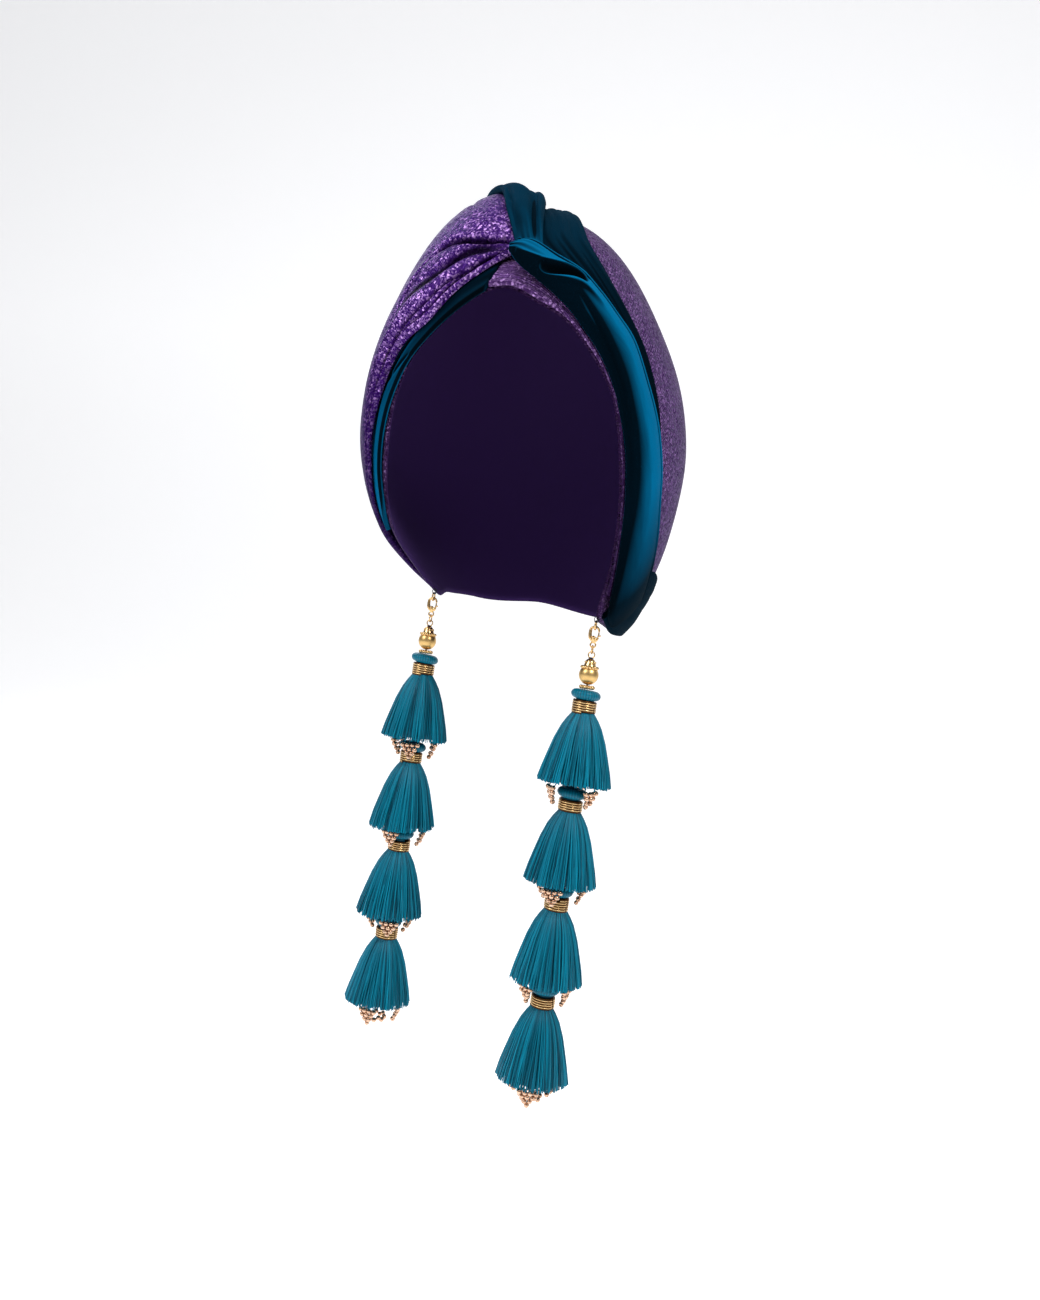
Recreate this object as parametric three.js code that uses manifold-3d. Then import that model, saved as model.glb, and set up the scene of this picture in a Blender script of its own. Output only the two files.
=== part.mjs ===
// A twist turban in two cloths, ribbed purple lurex and teal velvet, knotted over the brow,
// with a tassel drop clipped to a ring at each side of its hem. Millimetres, +Z up.
// The origin is the middle of the head between the ears, -Y is the face side.
import * as THREE from 'three';
import Module from 'manifold-3d';
import { mergeVertices } from 'three/addons/utils/BufferGeometryUtils.js';

const wasm = await Module();
wasm.setup();

// The egg that the crown's outer face follows: its centre and its reach each way
const egg = { y: 12, z: 25, side: 84, front: 112, back: 103, top: 124, bottom: 128 };
// How far the cloth falls short of the egg: half way up both sides, and under the left ear,
// where it is drawn in against the jaw
const shoulderFall = 6.5;
const leftTuck = 18;
const clothWall = 2;

// The crown is drawn round an axis that leans back, from its middle out to the hem
const crownLean = 32;
const crownRings = 9;
const crownSpokes = 32;

// The hem all the way round, in degrees: turn from the front towards +X, rise above level
const hemColumns = { turn: 0, rise: 1 };
const hem = [
  [0, 29.5], [8, 26.5], [15, 24], [21, 19.5], [27, 13.5], [31, 8], [34, 0], [37, -10], [40, -20],
  [44, -34], [50, -50], [64, -55], [82, -56.5], [100, -56], [118, -54], [148, -48], [180, -43],
  [-150, -49], [-124, -56], [-104, -61], [-84, -58.5], [-64, -49], [-48, -37], [-39.5, -27],
  [-34, -16], [-31.5, -4], [-30, 3], [-26.5, 11.5], [-20, 18], [-13, 24], [-6, 28.5],
];

// Each wound or folded cloth is a row of sections from its near end to its far end.
// A section runs from an upper edge to a lower edge: turn and rise in degrees, and how far
// its outer face stands off the egg. Full is how far the cloth swells between the edges.
const sectionColumns = [
  'upperTurn', 'upperRise', 'upperLift', 'lowerTurn', 'lowerRise', 'lowerLift', 'full',
];
// Each cloth has folds side by side from the upper edge to the lower one: where the fold ends
// at the near and the far end of the cloth, as a share of the width, how much of the swell
// stands in it, and its number of strips.
const foldColumns = ['endNear', 'endFar', 'rise', 'strips'];

const cloths = {
  lurex_tongue: {
    colour: 'lurex',
    rowsPerSection: 1,
    sections: [
      [-3, 36, 2.9, -5.5, 28.8, 2.9, 0.2],
      [2, 36.5, 2.9, 1, 29.2, 2.9, 0.3],
      [8, 34.5, 2.9, 8, 26.5, 2.9, 0.3],
      [15, 30, 2.9, 15, 24, 2.9, 0.3],
      [22, 25, 2.9, 21, 19.5, 2.9, 0.2],
      [30, 18, 2.9, 27, 13.5, 2.9, 0.1],
      [37, 8, 2.9, 31.5, 6.5, 2.9, 0],
      [42, -5, 2.9, 35.5, -5, 2.9, 0],
      [46, -19, 2.9, 39.7, -19, 2.9, 0],
      [50, -33, 2.9, 43.8, -33, 2.9, 0],
    ],
    folds: [[0.5, 0.5, 0.6, 2], [1, 1, 0.6, 2]],
  },
  velvet_hem_left: {
    colour: 'velvet',
    rowsPerSection: 1,
    sections: [
      [-7.5, 35, 2.9, -8.5, 27.2, 2.9, 0.1],
      [-15, 31, 2.9, -13, 23.8, 2.9, 0.3],
      [-23, 24, 2.9, -20, 18, 2.9, 0.3],
      [-32, 16, 2.9, -26.5, 11.5, 2.9, 0.2],
      [-38, 6, 2.9, -31, 3, 2.9, 0.1],
      [-42, -5, 2.9, -33.5, -4, 2.9, 0],
      [-44, -17, 2.9, -36.5, -16, 2.9, 0],
      [-49, -27, 2.9, -40.5, -27, 2.9, 0],
      [-58, -34, 2.9, -50, -35.5, 2.9, 0],
    ],
    folds: [[0.5, 0.5, 0.6, 2], [1, 1, 0.6, 2]],
  },
  velvet_panel_right: {
    colour: 'velvet',
    rowsPerSection: 1,
    sections: [
      [16, 77, 2.9, -16, 66, 2.9, 0.5],
      [20, 69, 2.9, -4, 59, 2.9, 1],
      [21, 60, 3.1, 2, 51, 2.9, 1.4],
      [22, 51, 3.2, 5, 43, 2.9, 1.4],
      [24, 43, 3.2, 11, 36, 2.9, 1.2],
      [28, 36.5, 3.1, 18, 32, 2.9, 1],
      [33, 30, 3, 25, 26, 2.9, 0.8],
      [39, 23, 2.9, 31, 19, 2.9, 0.6],
      [46, 14.5, 2.9, 38, 11, 2.9, 0.4],
      [52, 4, 2.9, 44, 1, 2.9, 0.3],
      [57, -6, 2.9, 50, -8, 2.9, 0.2],
    ],
    folds: [[0.3, 0.25, 1, 2], [0.55, 0.5, 1, 2], [0.78, 0.75, 0.9, 2], [1, 1, 0.2, 1]],
  },
  velvet_ear_fold: {
    colour: 'velvet',
    rowsPerSection: 2,
    sections: [
      [58, -41, 2.9, 53, -50.5, 2.9, 0.2],
      [68, -38, 2.9, 66, -55, 2.9, 0.5],
      [82, -36, 3, 82, -56.3, 3, 1.2],
      [98, -38, 3, 100, -55.8, 3, 1],
      [112, -42, 2.9, 116, -54, 2.9, 0.5],
    ],
    folds: [[0.5, 0.5, 0.8, 2], [1, 1, 1, 2]],
  },
  lurex_band_left: {
    colour: 'lurex',
    rowsPerSection: 1,
    sections: [
      [0, 42, 5.9, -1, 37.3, 5.8, 0.1],
      [-5, 50, 8, -7, 32.5, 5.8, 2.4],
      [-12, 58, 11, -13.5, 27, 5.8, 4],
      [-24, 66, 12.8, -20, 19.5, 5.8, 5.2],
      [-45, 73, 11, -28, 14.5, 5.8, 7],
      [-80, 75, 8, -32.5, 3, 5.8, 6.6],
      [-108, 66, 6.4, -36, -7, 5.8, 4],
      [-122, 50, 5.2, -39, -17, 5.8, 1.6],
      [-127, 30, 4.4, -48, -28, 5.8, 0.6],
      [-129, 8, 4, -61, -40, 5.6, 0.5],
      [-131, -14, 3.6, -80, -52, 4, 0.5],
      [-133, -34, 3.2, -106, -57, 3.2, 0.4],
    ],
    folds: [[0.3, 0.3, 0.55, 3], [0.55, 0.62, 0.8, 3], [0.78, 0.84, 0.75, 2], [1, 1, 0.6, 2]],
  },
  velvet_band_right: {
    colour: 'velvet',
    rowsPerSection: 1,
    sections: [
      [-2, 40.5, 12.2, -2.5, 38, 12.2, 0.4],
      [5, 41.3, 12.4, 2, 36, 9, 2.6],
      [12.5, 40, 8.6, 9, 31, 6.4, 4],
      [18.5, 37.3, 6.4, 15, 26.5, 6, 5],
      [23.5, 32.8, 6, 20, 21.5, 5.8, 5.4],
      [29, 28, 6, 25, 16, 5.8, 5.4],
      [35, 22, 5.8, 29.5, 9.5, 5.8, 5.2],
      [40, 14, 5.6, 33, 2, 5.8, 5],
      [44.5, 5, 5.8, 36.2, -6, 5.8, 5],
      [49.5, -5, 5.8, 39, -16, 5.8, 5],
      [55, -15, 5, 42, -27, 5.8, 4.8],
      [61, -25, 5.2, 46, -38, 5.8, 4.2],
      [67, -34.5, 5.6, 51.5, -47.5, 5.8, 3],
      [72, -42, 5.8, 60, -52, 5.8, 1.2],
    ],
    folds: [[0.3, 0.2, 0.55, 2], [0.5, 0.42, 0.1, 2], [1, 1, 1, 4]],
  },
  velvet_knot_wrap: {
    colour: 'velvet',
    rowsPerSection: 1,
    sections: [
      [-1, 39.5, 9, 7.5, 39, 8.6, 0.2],
      [-3, 43, 10.2, 8.5, 42.5, 8, 1],
      [-6.5, 48, 12.4, 8.5, 47.5, 8, 2.2],
      [-11, 54, 14.4, 7.5, 54, 8, 2.8],
      [-18, 60, 17.2, 5, 61, 7.8, 3.2],
      [-30, 66, 18.4, 0, 69, 7.2, 2.6],
      [-52, 71.5, 15.4, -14, 78, 6.4, 2],
      [-88, 74, 10.8, -60, 85, 5.2, 1.6],
      [-122, 72, 8.4, -150, 84, 3.8, 1],
      [-138, 66, 5, -160, 76, 2.9, 0.2],
    ],
    folds: [[0.24, 0.24, 0.8, 2], [0.74, 0.74, 1, 4], [1, 1, 0.9, 2]],
  },
};

// The tassel drops hang from the hem at these turns from the front
const dropTurn = { right: 53, left: -103 };
const seatGap = 0.3;
const hemGap = 0.6;
const wireSides = 6;
const ringSteps = 12;
const plateSteps = 4;
const hemRing = { radius: 2.2, wire: 0.45 };
const jumpRing = { radius: 2.1, wire: 0.35 };
const pinLoop = { radius: 1.6, wire: 0.35 };
const clasp = {
  thick: 1.3, bow: 2.75, hole: 1.6, reach: 2.6, neck: 1.1,
  eyeDrop: 7, eyeOuter: 1.75, eyeHole: 0.95, barInRing: 1.35,
  leverX: 2.1, leverTop: -0.35, leverPivot: -2.75, leverWidth: 0.45,
};
const pinShaft = 0.6;
const threadBore = 0.95;
const beadRadius = 5;
const headBelowHem = 36;
const tasselPitch = 50;
const tasselCount = 4;
const tasselSides = 14;
const threadRadius = 0.9;
const neckRadius = 5.2;
const headRadius = 7.5;
const skirtTop = 11.8;
const skirtBottom = 50;
const skirtRadius = 18;
const hollowTop = 16;

// A tassel from its head down its outside and back up its hollow: depth, radius, lock depth
const tasselProfile = [
  [0, 4.2, 0], [0.9, 7, 0], [2.6, headRadius, 0], [4.3, 7, 0], [5, neckRadius, 0],
  [skirtTop, neckRadius, 0], [19, 9.4, 0.3], [34, 14.2, 0.6], [skirtBottom, skirtRadius, 1],
  [skirtBottom - 0.4, skirtRadius - 2.6, 0.6], [20, 4, 0],
];
const woundTurns = 3;
const woundBand = { top: 5.3, bottom: 11.4, inner: neckRadius + 0.5, outer: 6.5, groove: 0.5 };
const collar = { top: 48, bottom: 59.5, inner: headRadius + 0.5, outer: 13, bead: 1.2 };
const collarBumps = 7;

const materials = {
  lurex: new THREE.MeshStandardMaterial({ color: 0x6a2fae, roughness: 0.38, metalness: 0.45 }),
  velvet: new THREE.MeshStandardMaterial({ color: 0x045a7d, roughness: 0.8, metalness: 0 }),
  silk: new THREE.MeshStandardMaterial({ color: 0x057a88, roughness: 0.5, metalness: 0 }),
  gold: new THREE.MeshStandardMaterial({ color: 0xb98a3c, roughness: 0.32, metalness: 0.9 }),
  bronze: new THREE.MeshStandardMaterial({ color: 0x8a5a22, roughness: 0.4, metalness: 0.8 }),
};

const mix = (a, b, t) => a + (b - a) * t;
// Nothing at both ends and one in the middle, rising steeply at the ends
const lobe = (t) => Math.max(Math.sin(Math.PI * t), 0) ** 0.7;

// The way out from the egg's centre at a turn and a rise
function wayOut(turn, rise) {
  const t = THREE.MathUtils.degToRad(turn);
  const r = THREE.MathUtils.degToRad(rise);
  return new THREE.Vector3(Math.sin(t) * Math.cos(r), -Math.cos(t) * Math.cos(r), Math.sin(r));
}

// The point that stands off the egg by lift along a way out
function onEgg(way, lift) {
  const depth = (way.y < 0 ? egg.front : egg.back) + lift;
  const height = (way.z > 0 ? egg.top : egg.bottom) + lift;
  const across = way.x / (egg.side + lift);
  const up = way.z / height;
  const stretch = Math.hypot(across, way.y / depth, up);
  const slope = (2 * across * up / stretch ** 2) ** 2;
  const tuck = across < 0 ? leftTuck : 0;
  const reach = 1 / stretch - slope * (up > 0 ? shoulderFall : tuck);
  return way.clone().multiplyScalar(reach).add(new THREE.Vector3(0, egg.y, egg.z));
}

// A smooth curve through table rows, at a place from 0 to 1 along them
function alongRows(rows, place) {
  const spans = rows.length - 1;
  const span = Math.min(Math.floor(place * spans), spans - 1);
  const t = place * spans - span;
  const before = rows[Math.max(span - 1, 0)];
  const after = rows[Math.min(span + 2, spans)];
  return rows[span].map((from, column) => {
    const to = rows[span + 1][column];
    const leaving = (to - before[column]) / 2;
    const arriving = (after[column] - from) / 2;
    const bend = 2 * (from - to) + leaving + arriving;
    const sweep = 3 * (to - from) - 2 * leaving - arriving;
    return ((bend * t + sweep) * t + leaving) * t + from;
  });
}

// A row of a table under its column names
function named(columns, row) {
  return Object.fromEntries(columns.map((column, i) => [column, row[i]]));
}

function solidFrom(points, triangles) {
  const geometry = new THREE.BufferGeometry();
  geometry.setAttribute(
    'position', new THREE.Float32BufferAttribute(points.flatMap((p) => [p.x, p.y, p.z]), 3),
  );
  geometry.setIndex(triangles.flat());
  return geometry;
}

// Closed rings of equal count joined one to the next. Looped joins the last to the first,
// and otherwise each end closes on its middle. Rings run anticlockwise seen from the first end.
function ringedSolid(rings, looped = false) {
  const count = rings[0].length;
  const points = rings.flat();
  const triangles = [];
  const joins = looped ? rings.length : rings.length - 1;
  for (let i = 0; i < joins; i += 1) {
    const a = i * count;
    const b = ((i + 1) % rings.length) * count;
    for (let j = 0; j < count; j += 1) {
      const k = (j + 1) % count;
      triangles.push([a + j, b + j, b + k], [a + j, b + k, a + k]);
    }
  }
  if (!looped) {
    const ends = [rings[0], rings[rings.length - 1]];
    ends.forEach((ring, end) => {
      const middle = ring.reduce((sum, p) => sum.add(p), new THREE.Vector3());
      points.push(middle.divideScalar(count));
      const start = end === 0 ? 0 : (rings.length - 1) * count;
      for (let j = 0; j < count; j += 1) {
        const pair = [start + j, start + ((j + 1) % count)];
        if (end === 1) pair.reverse();
        triangles.push([points.length - 1, ...pair]);
      }
    });
  }
  return solidFrom(points, triangles);
}

// A ring of points round the Z axis, its radius and height varied by the angle
function levelRing(sides, radius, height) {
  return Array.from({ length: sides }, (_, i) => {
    const angle = (i / sides) * 2 * Math.PI;
    const r = radius(angle);
    return new THREE.Vector3(r * Math.cos(angle), r * Math.sin(angle), height(angle));
  });
}

// A wall of cloth between an outer and an inner sheet, each a grid of points
function clothSolid(outer, inner) {
  const rows = outer.length;
  const columns = outer[0].length;
  const sheet = rows * columns;
  const points = [...outer.flat(), ...inner.flat()];
  const at = (i, j) => i * columns + j;
  const triangles = [];
  const quad = (a, b, c, d) => triangles.push([a, b, c], [a, c, d]);
  for (let i = 0; i < rows - 1; i += 1) {
    for (let j = 0; j < columns - 1; j += 1) {
      quad(at(i, j), at(i + 1, j), at(i + 1, j + 1), at(i, j + 1));
      quad(sheet + at(i, j), sheet + at(i, j + 1), sheet + at(i + 1, j + 1), sheet + at(i + 1, j));
    }
  }
  const edge = [];
  for (let j = 0; j < columns; j += 1) edge.push(at(0, j));
  for (let i = 1; i < rows; i += 1) edge.push(at(i, columns - 1));
  for (let j = columns - 2; j >= 0; j -= 1) edge.push(at(rows - 1, j));
  for (let i = rows - 2; i > 0; i -= 1) edge.push(at(i, 0));
  edge.forEach((a, n) => {
    const b = edge[(n + 1) % edge.length];
    quad(a, b, sheet + b, sheet + a);
  });
  return solidFrom(points, triangles);
}

// Positive volume means that the faces point out
function facingOut(geometry) {
  const p = geometry.attributes.position;
  const index = geometry.index.array;
  const corner = (i) => new THREE.Vector3().fromBufferAttribute(p, index[i]);
  let volume = 0;
  for (let i = 0; i < index.length; i += 3) {
    volume += corner(i).dot(corner(i + 1).cross(corner(i + 2)));
  }
  if (volume < 0) {
    for (let i = 0; i < index.length; i += 3) [index[i], index[i + 1]] = [index[i + 1], index[i]];
  }
  return geometry;
}

// One folded cloth: sections give its run and swell, folds its lobes from edge to edge
function foldedCloth({ sections, folds, rowsPerSection }) {
  const steps = (sections.length - 1) * rowsPerSection;
  const outer = [];
  const inner = [];
  for (let i = 0; i <= steps; i += 1) {
    const place = i / steps;
    const section = named(sectionColumns, alongRows(sections, place));
    const upper = wayOut(section.upperTurn, section.upperRise);
    const lower = wayOut(section.lowerTurn, section.lowerRise);
    const outerRow = [];
    const innerRow = [];
    let from = 0;
    folds.forEach((row, n) => {
      const fold = named(foldColumns, row);
      const to = mix(fold.endNear, fold.endFar, place);
      for (let j = n === 0 ? 0 : 1; j <= fold.strips; j += 1) {
        const across = j / fold.strips;
        const t = mix(from, to, across);
        const swell = section.full * (0.6 * lobe(t) + 0.55 * fold.rise * lobe(across));
        const lift = mix(section.upperLift, section.lowerLift, t) + swell;
        const way = upper.clone().lerp(lower, t).normalize();
        outerRow.push(onEgg(way, lift));
        innerRow.push(onEgg(way, lift - clothWall));
      }
      from = to;
    });
    outer.push(outerRow);
    inner.push(innerRow);
  }
  return facingOut(clothSolid(outer, inner));
}

// Where each spoke of the crown meets the hem, as ways out evenly spaced round the leaning axis
const crownAxis = new THREE.Vector3(
  0, Math.sin(THREE.MathUtils.degToRad(crownLean)), Math.cos(THREE.MathUtils.degToRad(crownLean)),
);
function spokeEnds() {
  const line = new THREE.CatmullRomCurve3(
    hem.map((row) => wayOut(row[hemColumns.turn], row[hemColumns.rise])), true, 'catmullrom', 0.5,
  ).getPoints(hem.length * 8).map((p) => p.normalize());
  const side = new THREE.Vector3(1, 0, 0);
  const front = new THREE.Vector3().crossVectors(side, crownAxis);
  return Array.from({ length: crownSpokes }, (_, i) => {
    const bearing = (i / crownSpokes) * 2 * Math.PI;
    const aim = side.clone().multiplyScalar(Math.sin(bearing));
    aim.addScaledVector(front, -Math.cos(bearing));
    const apart = (p) => p.clone().addScaledVector(crownAxis, -p.dot(crownAxis)).angleTo(aim);
    return line.reduce((best, p) => (apart(p) < apart(best) ? p : best));
  });
}
const crownEnds = spokeEnds();

// The middle of the hem's edge at the spoke nearest to a turn from the front, below the face
function hemEdge(turn) {
  const off = (p) => Math.abs(THREE.MathUtils.radToDeg(Math.atan2(p.x, -p.y)) - turn);
  const below = crownEnds.filter((p) => p.z < 0);
  return onEgg(below.reduce((best, p) => (off(p) < off(best) ? p : best)), -clothWall / 2);
}

// The crown: rings from the middle of the crown out to the hem, outside, and back inside
function crownCap() {
  const ring = (share, lift) => crownEnds.map((end) => {
    const turning = new THREE.Vector3().crossVectors(crownAxis, end).normalize();
    return onEgg(crownAxis.clone().applyAxisAngle(turning, crownAxis.angleTo(end) * share), lift);
  });
  const shares = Array.from({ length: crownRings }, (_, i) => (i + 1) / crownRings);
  const outside = shares.map((share) => ring(share, 0));
  const inside = shares.map((share) => ring(share, -clothWall)).reverse();
  return facingOut(ringedSolid([...outside, ...inside]));
}

// A wire ring, its axis along X or Y
function wireRing({ radius, wire }, axis) {
  const rings = Array.from({ length: ringSteps }, (_, i) => {
    const angle = (i / ringSteps) * 2 * Math.PI;
    const out = axis === 'x'
      ? new THREE.Vector3(0, Math.cos(angle), Math.sin(angle))
      : new THREE.Vector3(Math.cos(angle), 0, Math.sin(angle));
    const along = axis === 'x' ? new THREE.Vector3(1, 0, 0) : new THREE.Vector3(0, 1, 0);
    return Array.from({ length: wireSides }, (__, j) => {
      const turn = (j / wireSides) * 2 * Math.PI;
      return out.clone().multiplyScalar(radius + wire * Math.cos(turn))
        .addScaledVector(along, wire * Math.sin(turn));
    });
  });
  return facingOut(ringedSolid(rings, true));
}

function manifoldOf(geometry) {
  const bare = geometry.clone();
  bare.deleteAttribute('normal');
  bare.deleteAttribute('uv');
  const merged = mergeVertices(bare, 1e-4);
  return new wasm.Manifold(new wasm.Mesh({
    numProp: 3,
    vertProperties: new Float32Array(merged.attributes.position.array),
    triVerts: new Uint32Array(merged.index.array),
  }));
}

function geometryOf(manifold) {
  const mesh = manifold.getMesh();
  const geometry = new THREE.BufferGeometry();
  geometry.setAttribute('position', new THREE.BufferAttribute(mesh.vertProperties, mesh.numProp));
  geometry.setIndex(new THREE.BufferAttribute(mesh.triVerts, 1));
  return geometry;
}

// A flat plate in the X-Z plane, its thickness along Y
function plate(shape, thick) {
  const geometry = new THREE.ExtrudeGeometry(
    shape, { depth: thick, bevelEnabled: false, curveSegments: plateSteps },
  );
  return manifoldOf(geometry.rotateX(Math.PI / 2).translate(0, thick / 2, 0));
}

// A bar with round ends, from one height to another
function roundBar(x, high, low, radius) {
  const shape = new THREE.Shape();
  shape.absarc(x, high, radius, 0, Math.PI, false);
  shape.absarc(x, low, radius, Math.PI, 2 * Math.PI, false);
  return shape;
}

function box(x0, x1, z0, z1) {
  const shape = new THREE.Shape();
  shape.moveTo(x0, z0).lineTo(x1, z0).lineTo(x1, z1).lineTo(x0, z1).closePath();
  return shape;
}

// The lobster clasp about the top of its hook's hole: hook, neck and eye cut from one plate
function claspBody() {
  const c = clasp;
  const deep = c.thick * 2;
  const leverRoom = c.leverWidth + seatGap;
  return geometryOf(
    plate(roundBar(0, 0, -c.reach, c.bow), c.thick)
      .add(plate(box(-c.neck, c.neck, -c.eyeDrop, -c.reach), c.thick))
      .add(plate(roundBar(0, -c.eyeDrop, -c.eyeDrop, c.eyeOuter), c.thick))
      .subtract(plate(roundBar(0, 0, -c.reach + 0.4, c.hole), deep))
      .subtract(plate(roundBar(0, -c.eyeDrop, -c.eyeDrop, c.eyeHole), deep))
      .subtract(plate(roundBar(c.leverX, c.leverTop, c.leverPivot, leverRoom), deep))
      .subtract(plate(box(c.leverX, c.bow + 1, c.leverPivot, c.leverTop), deep)),
  );
}

function claspLever() {
  const c = clasp;
  return geometryOf(plate(roundBar(c.leverX, c.leverTop, c.leverPivot, c.leverWidth), c.thick));
}

// A round piece bored for the thread: its outline goes down the outside and up the bore
function boredTurning(profile, sides) {
  return facingOut(ringedSolid(
    profile.map(([radius, height]) => levelRing(sides, () => radius, () => height)), true,
  ));
}

function beadPin(length) {
  const drop = pinLoop.radius;
  const shaft = ringedSolid([
    levelRing(wireSides, () => pinShaft, () => -drop),
    levelRing(wireSides, () => pinShaft, () => -length),
  ]);
  return geometryOf(manifoldOf(wireRing(pinLoop, 'y')).add(manifoldOf(facingOut(shaft))));
}

// The tassel: head, neck, skirt with locks and its hollow, with its thread above it
function tassel(threadHeight) {
  const locks = tasselSides / 2;
  const rings = tasselProfile.map(([depth, radius, lock]) => levelRing(
    tasselSides, (angle) => radius + lock * Math.cos(locks * angle), () => -depth,
  ));
  const thread = [threadHeight, 0].map((height) => levelRing(
    tasselSides, () => threadRadius, () => height,
  ));
  const hollowEnd = levelRing(tasselSides, () => 1.2, () => -hollowTop);
  return facingOut(ringedSolid([...(threadHeight > 0 ? thread : []), ...rings, hollowEnd]));
}

// Gold thread wound round the neck, one groove between each two turns
function goldBand() {
  const { top, bottom, inner, outer, groove } = woundBand;
  const profile = [[inner, -top]];
  const pitch = (bottom - top) / woundTurns;
  for (let turn = 0; turn < woundTurns; turn += 1) {
    profile.push([outer, -top - pitch * (turn + 0.4)]);
    if (turn < woundTurns - 1) profile.push([outer - groove, -top - pitch * (turn + 1)]);
  }
  profile.push([inner, -bottom]);
  return boredTurning(profile, ringSteps);
}

// A collar of beads under a skirt, round the next head, and a closed cluster under the last
function beadCollar(closed) {
  const { top, bottom, inner, outer, bead } = collar;
  const bump = (angle) => bead * Math.cos(collarBumps * angle);
  const middle = (top + bottom) / 2;
  const shell = [
    levelRing(tasselSides, () => outer - 2.5, () => -top),
    levelRing(tasselSides, (a) => outer - bead + bump(a), () => -mix(top, middle, 0.7)),
    levelRing(tasselSides, (a) => outer - bead - 1.2 - bump(a), (a) => -bottom + 1.6 + bump(a)),
  ];
  if (closed) {
    return facingOut(ringedSolid([
      levelRing(tasselSides, () => threadRadius, () => -hollowTop - seatGap - 0.2),
      levelRing(tasselSides, () => threadRadius, () => -top + 0.6),
      ...shell,
      levelRing(tasselSides, () => 5, () => -bottom - 0.6),
    ]));
  }
  return facingOut(ringedSolid([
    ...shell,
    levelRing(tasselSides, () => inner + 0.6, () => -bottom + 2),
    levelRing(tasselSides, () => inner, () => -top - 4),
    levelRing(tasselSides, () => inner + 0.8, () => -top - 0.6),
  ], true));
}

function named3d(name, geometry, material, height = 0) {
  const mesh = new THREE.Mesh(geometry, materials[material]);
  mesh.name = name;
  mesh.position.z = height;
  return mesh;
}

// Heights of the links of a drop, downwards from the hem edge above it
const hemRingAt = -hemGap - hemRing.radius - hemRing.wire;
const hookAt = hemRingAt - clasp.barInRing - clasp.hole;
const eyeAt = hookAt - clasp.eyeDrop;
const jumpAt = eyeAt - clasp.eyeHole + seatGap + jumpRing.wire - jumpRing.radius;
const loopAt = jumpAt - jumpRing.radius + jumpRing.wire + seatGap + pinLoop.wire - pinLoop.radius;
const loopEnd = loopAt - pinLoop.radius - pinLoop.wire;
const headAt = -headBelowHem;
const spacerTop = headAt + 2.2;
const beadAt = spacerTop + seatGap + beadRadius;
const capRim = beadAt + 3.2;

function drop(side) {
  const group = new THREE.Group();
  const add = (name, geometry, material, height) => {
    group.add(named3d(`${side}_${name}`, geometry, material, height));
  };
  add('hem_ring', wireRing(hemRing, 'x'), 'gold', hemRingAt);
  add('clasp_body', claspBody(), 'gold', hookAt);
  add('clasp_lever', claspLever(), 'gold', hookAt);
  add('jump_ring', wireRing(jumpRing, 'x'), 'gold', jumpAt);
  add('bead_pin', beadPin(loopAt - headAt - seatGap), 'gold', loopAt);
  const capTop = loopEnd - seatGap - capRim;
  add('bead_cap', boredTurning([
    [threadBore, capTop], [1.8, capTop], [2.6, capTop - 1], [4.3, 1.8], [4.9, 0],
    [4.3, 0], [3.3, 1.4], [threadBore, 2.3],
  ], ringSteps), 'gold', capRim);
  const bead = Array.from({ length: 7 }, (_, i) => {
    const bore = Math.asin(threadBore / beadRadius);
    const angle = mix(bore, Math.PI - bore, i / 6);
    return [beadRadius * Math.sin(angle), beadRadius * Math.cos(angle)];
  });
  add('gold_bead', boredTurning(bead, ringSteps), 'gold', beadAt);
  add('spacer', boredTurning([
    [threadBore, 0], [2.6, -0.1], [3.3, -1], [2.6, -1.8], [threadBore, -1.9],
  ], ringSteps), 'gold', spacerTop);
  const threadHeight = tasselPitch - hollowTop - seatGap - 0.2;
  for (let k = 0; k < tasselCount; k += 1) {
    const height = headAt - k * tasselPitch;
    add(`tassel_${k + 1}`, tassel(k === 0 ? 0 : threadHeight), 'silk', height);
    add(`gold_band_${k + 1}`, goldBand(), 'bronze', height);
    add(`bead_collar_${k + 1}`, beadCollar(k === tasselCount - 1), 'gold', height);
  }
  group.position.copy(hemEdge(dropTurn[side]));
  return group;
}

const group = new THREE.Group();
group.add(named3d('crown_cap', crownCap(), 'lurex'));
Object.entries(cloths).forEach(([name, cloth]) => {
  group.add(named3d(name, foldedCloth(cloth), cloth.colour));
});
group.add(drop('right'));
group.add(drop('left'));

export default group;
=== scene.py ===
import math
import bpy
import numpy as np
from mathutils import Matrix, Vector


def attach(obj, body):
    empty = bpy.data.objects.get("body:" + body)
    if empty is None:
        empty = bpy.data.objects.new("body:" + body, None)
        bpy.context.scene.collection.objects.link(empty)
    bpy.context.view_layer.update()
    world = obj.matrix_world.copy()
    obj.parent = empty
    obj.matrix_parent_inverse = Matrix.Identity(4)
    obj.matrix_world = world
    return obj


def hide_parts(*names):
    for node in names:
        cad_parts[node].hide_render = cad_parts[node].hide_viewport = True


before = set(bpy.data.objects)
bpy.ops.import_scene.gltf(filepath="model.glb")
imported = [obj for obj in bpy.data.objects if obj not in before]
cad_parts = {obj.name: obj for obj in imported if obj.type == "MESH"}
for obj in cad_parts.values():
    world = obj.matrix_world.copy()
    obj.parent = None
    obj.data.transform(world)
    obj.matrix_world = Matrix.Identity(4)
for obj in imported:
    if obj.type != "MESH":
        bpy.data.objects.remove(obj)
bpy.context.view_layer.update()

mm = 0.001

# The camera first: where it stands and aims in degrees and mm, its tilt, its focal length and the
# frame's height in pixels, and its sensor in mm
camera = {"azimuth": 11.0, "elevation": 0.5, "roll": 8.0, "distance": 540.0,
          "target": (11, 0, -82), "focal": 1000.0, "frame": 1300.0, "sensor": 36.0}


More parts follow.
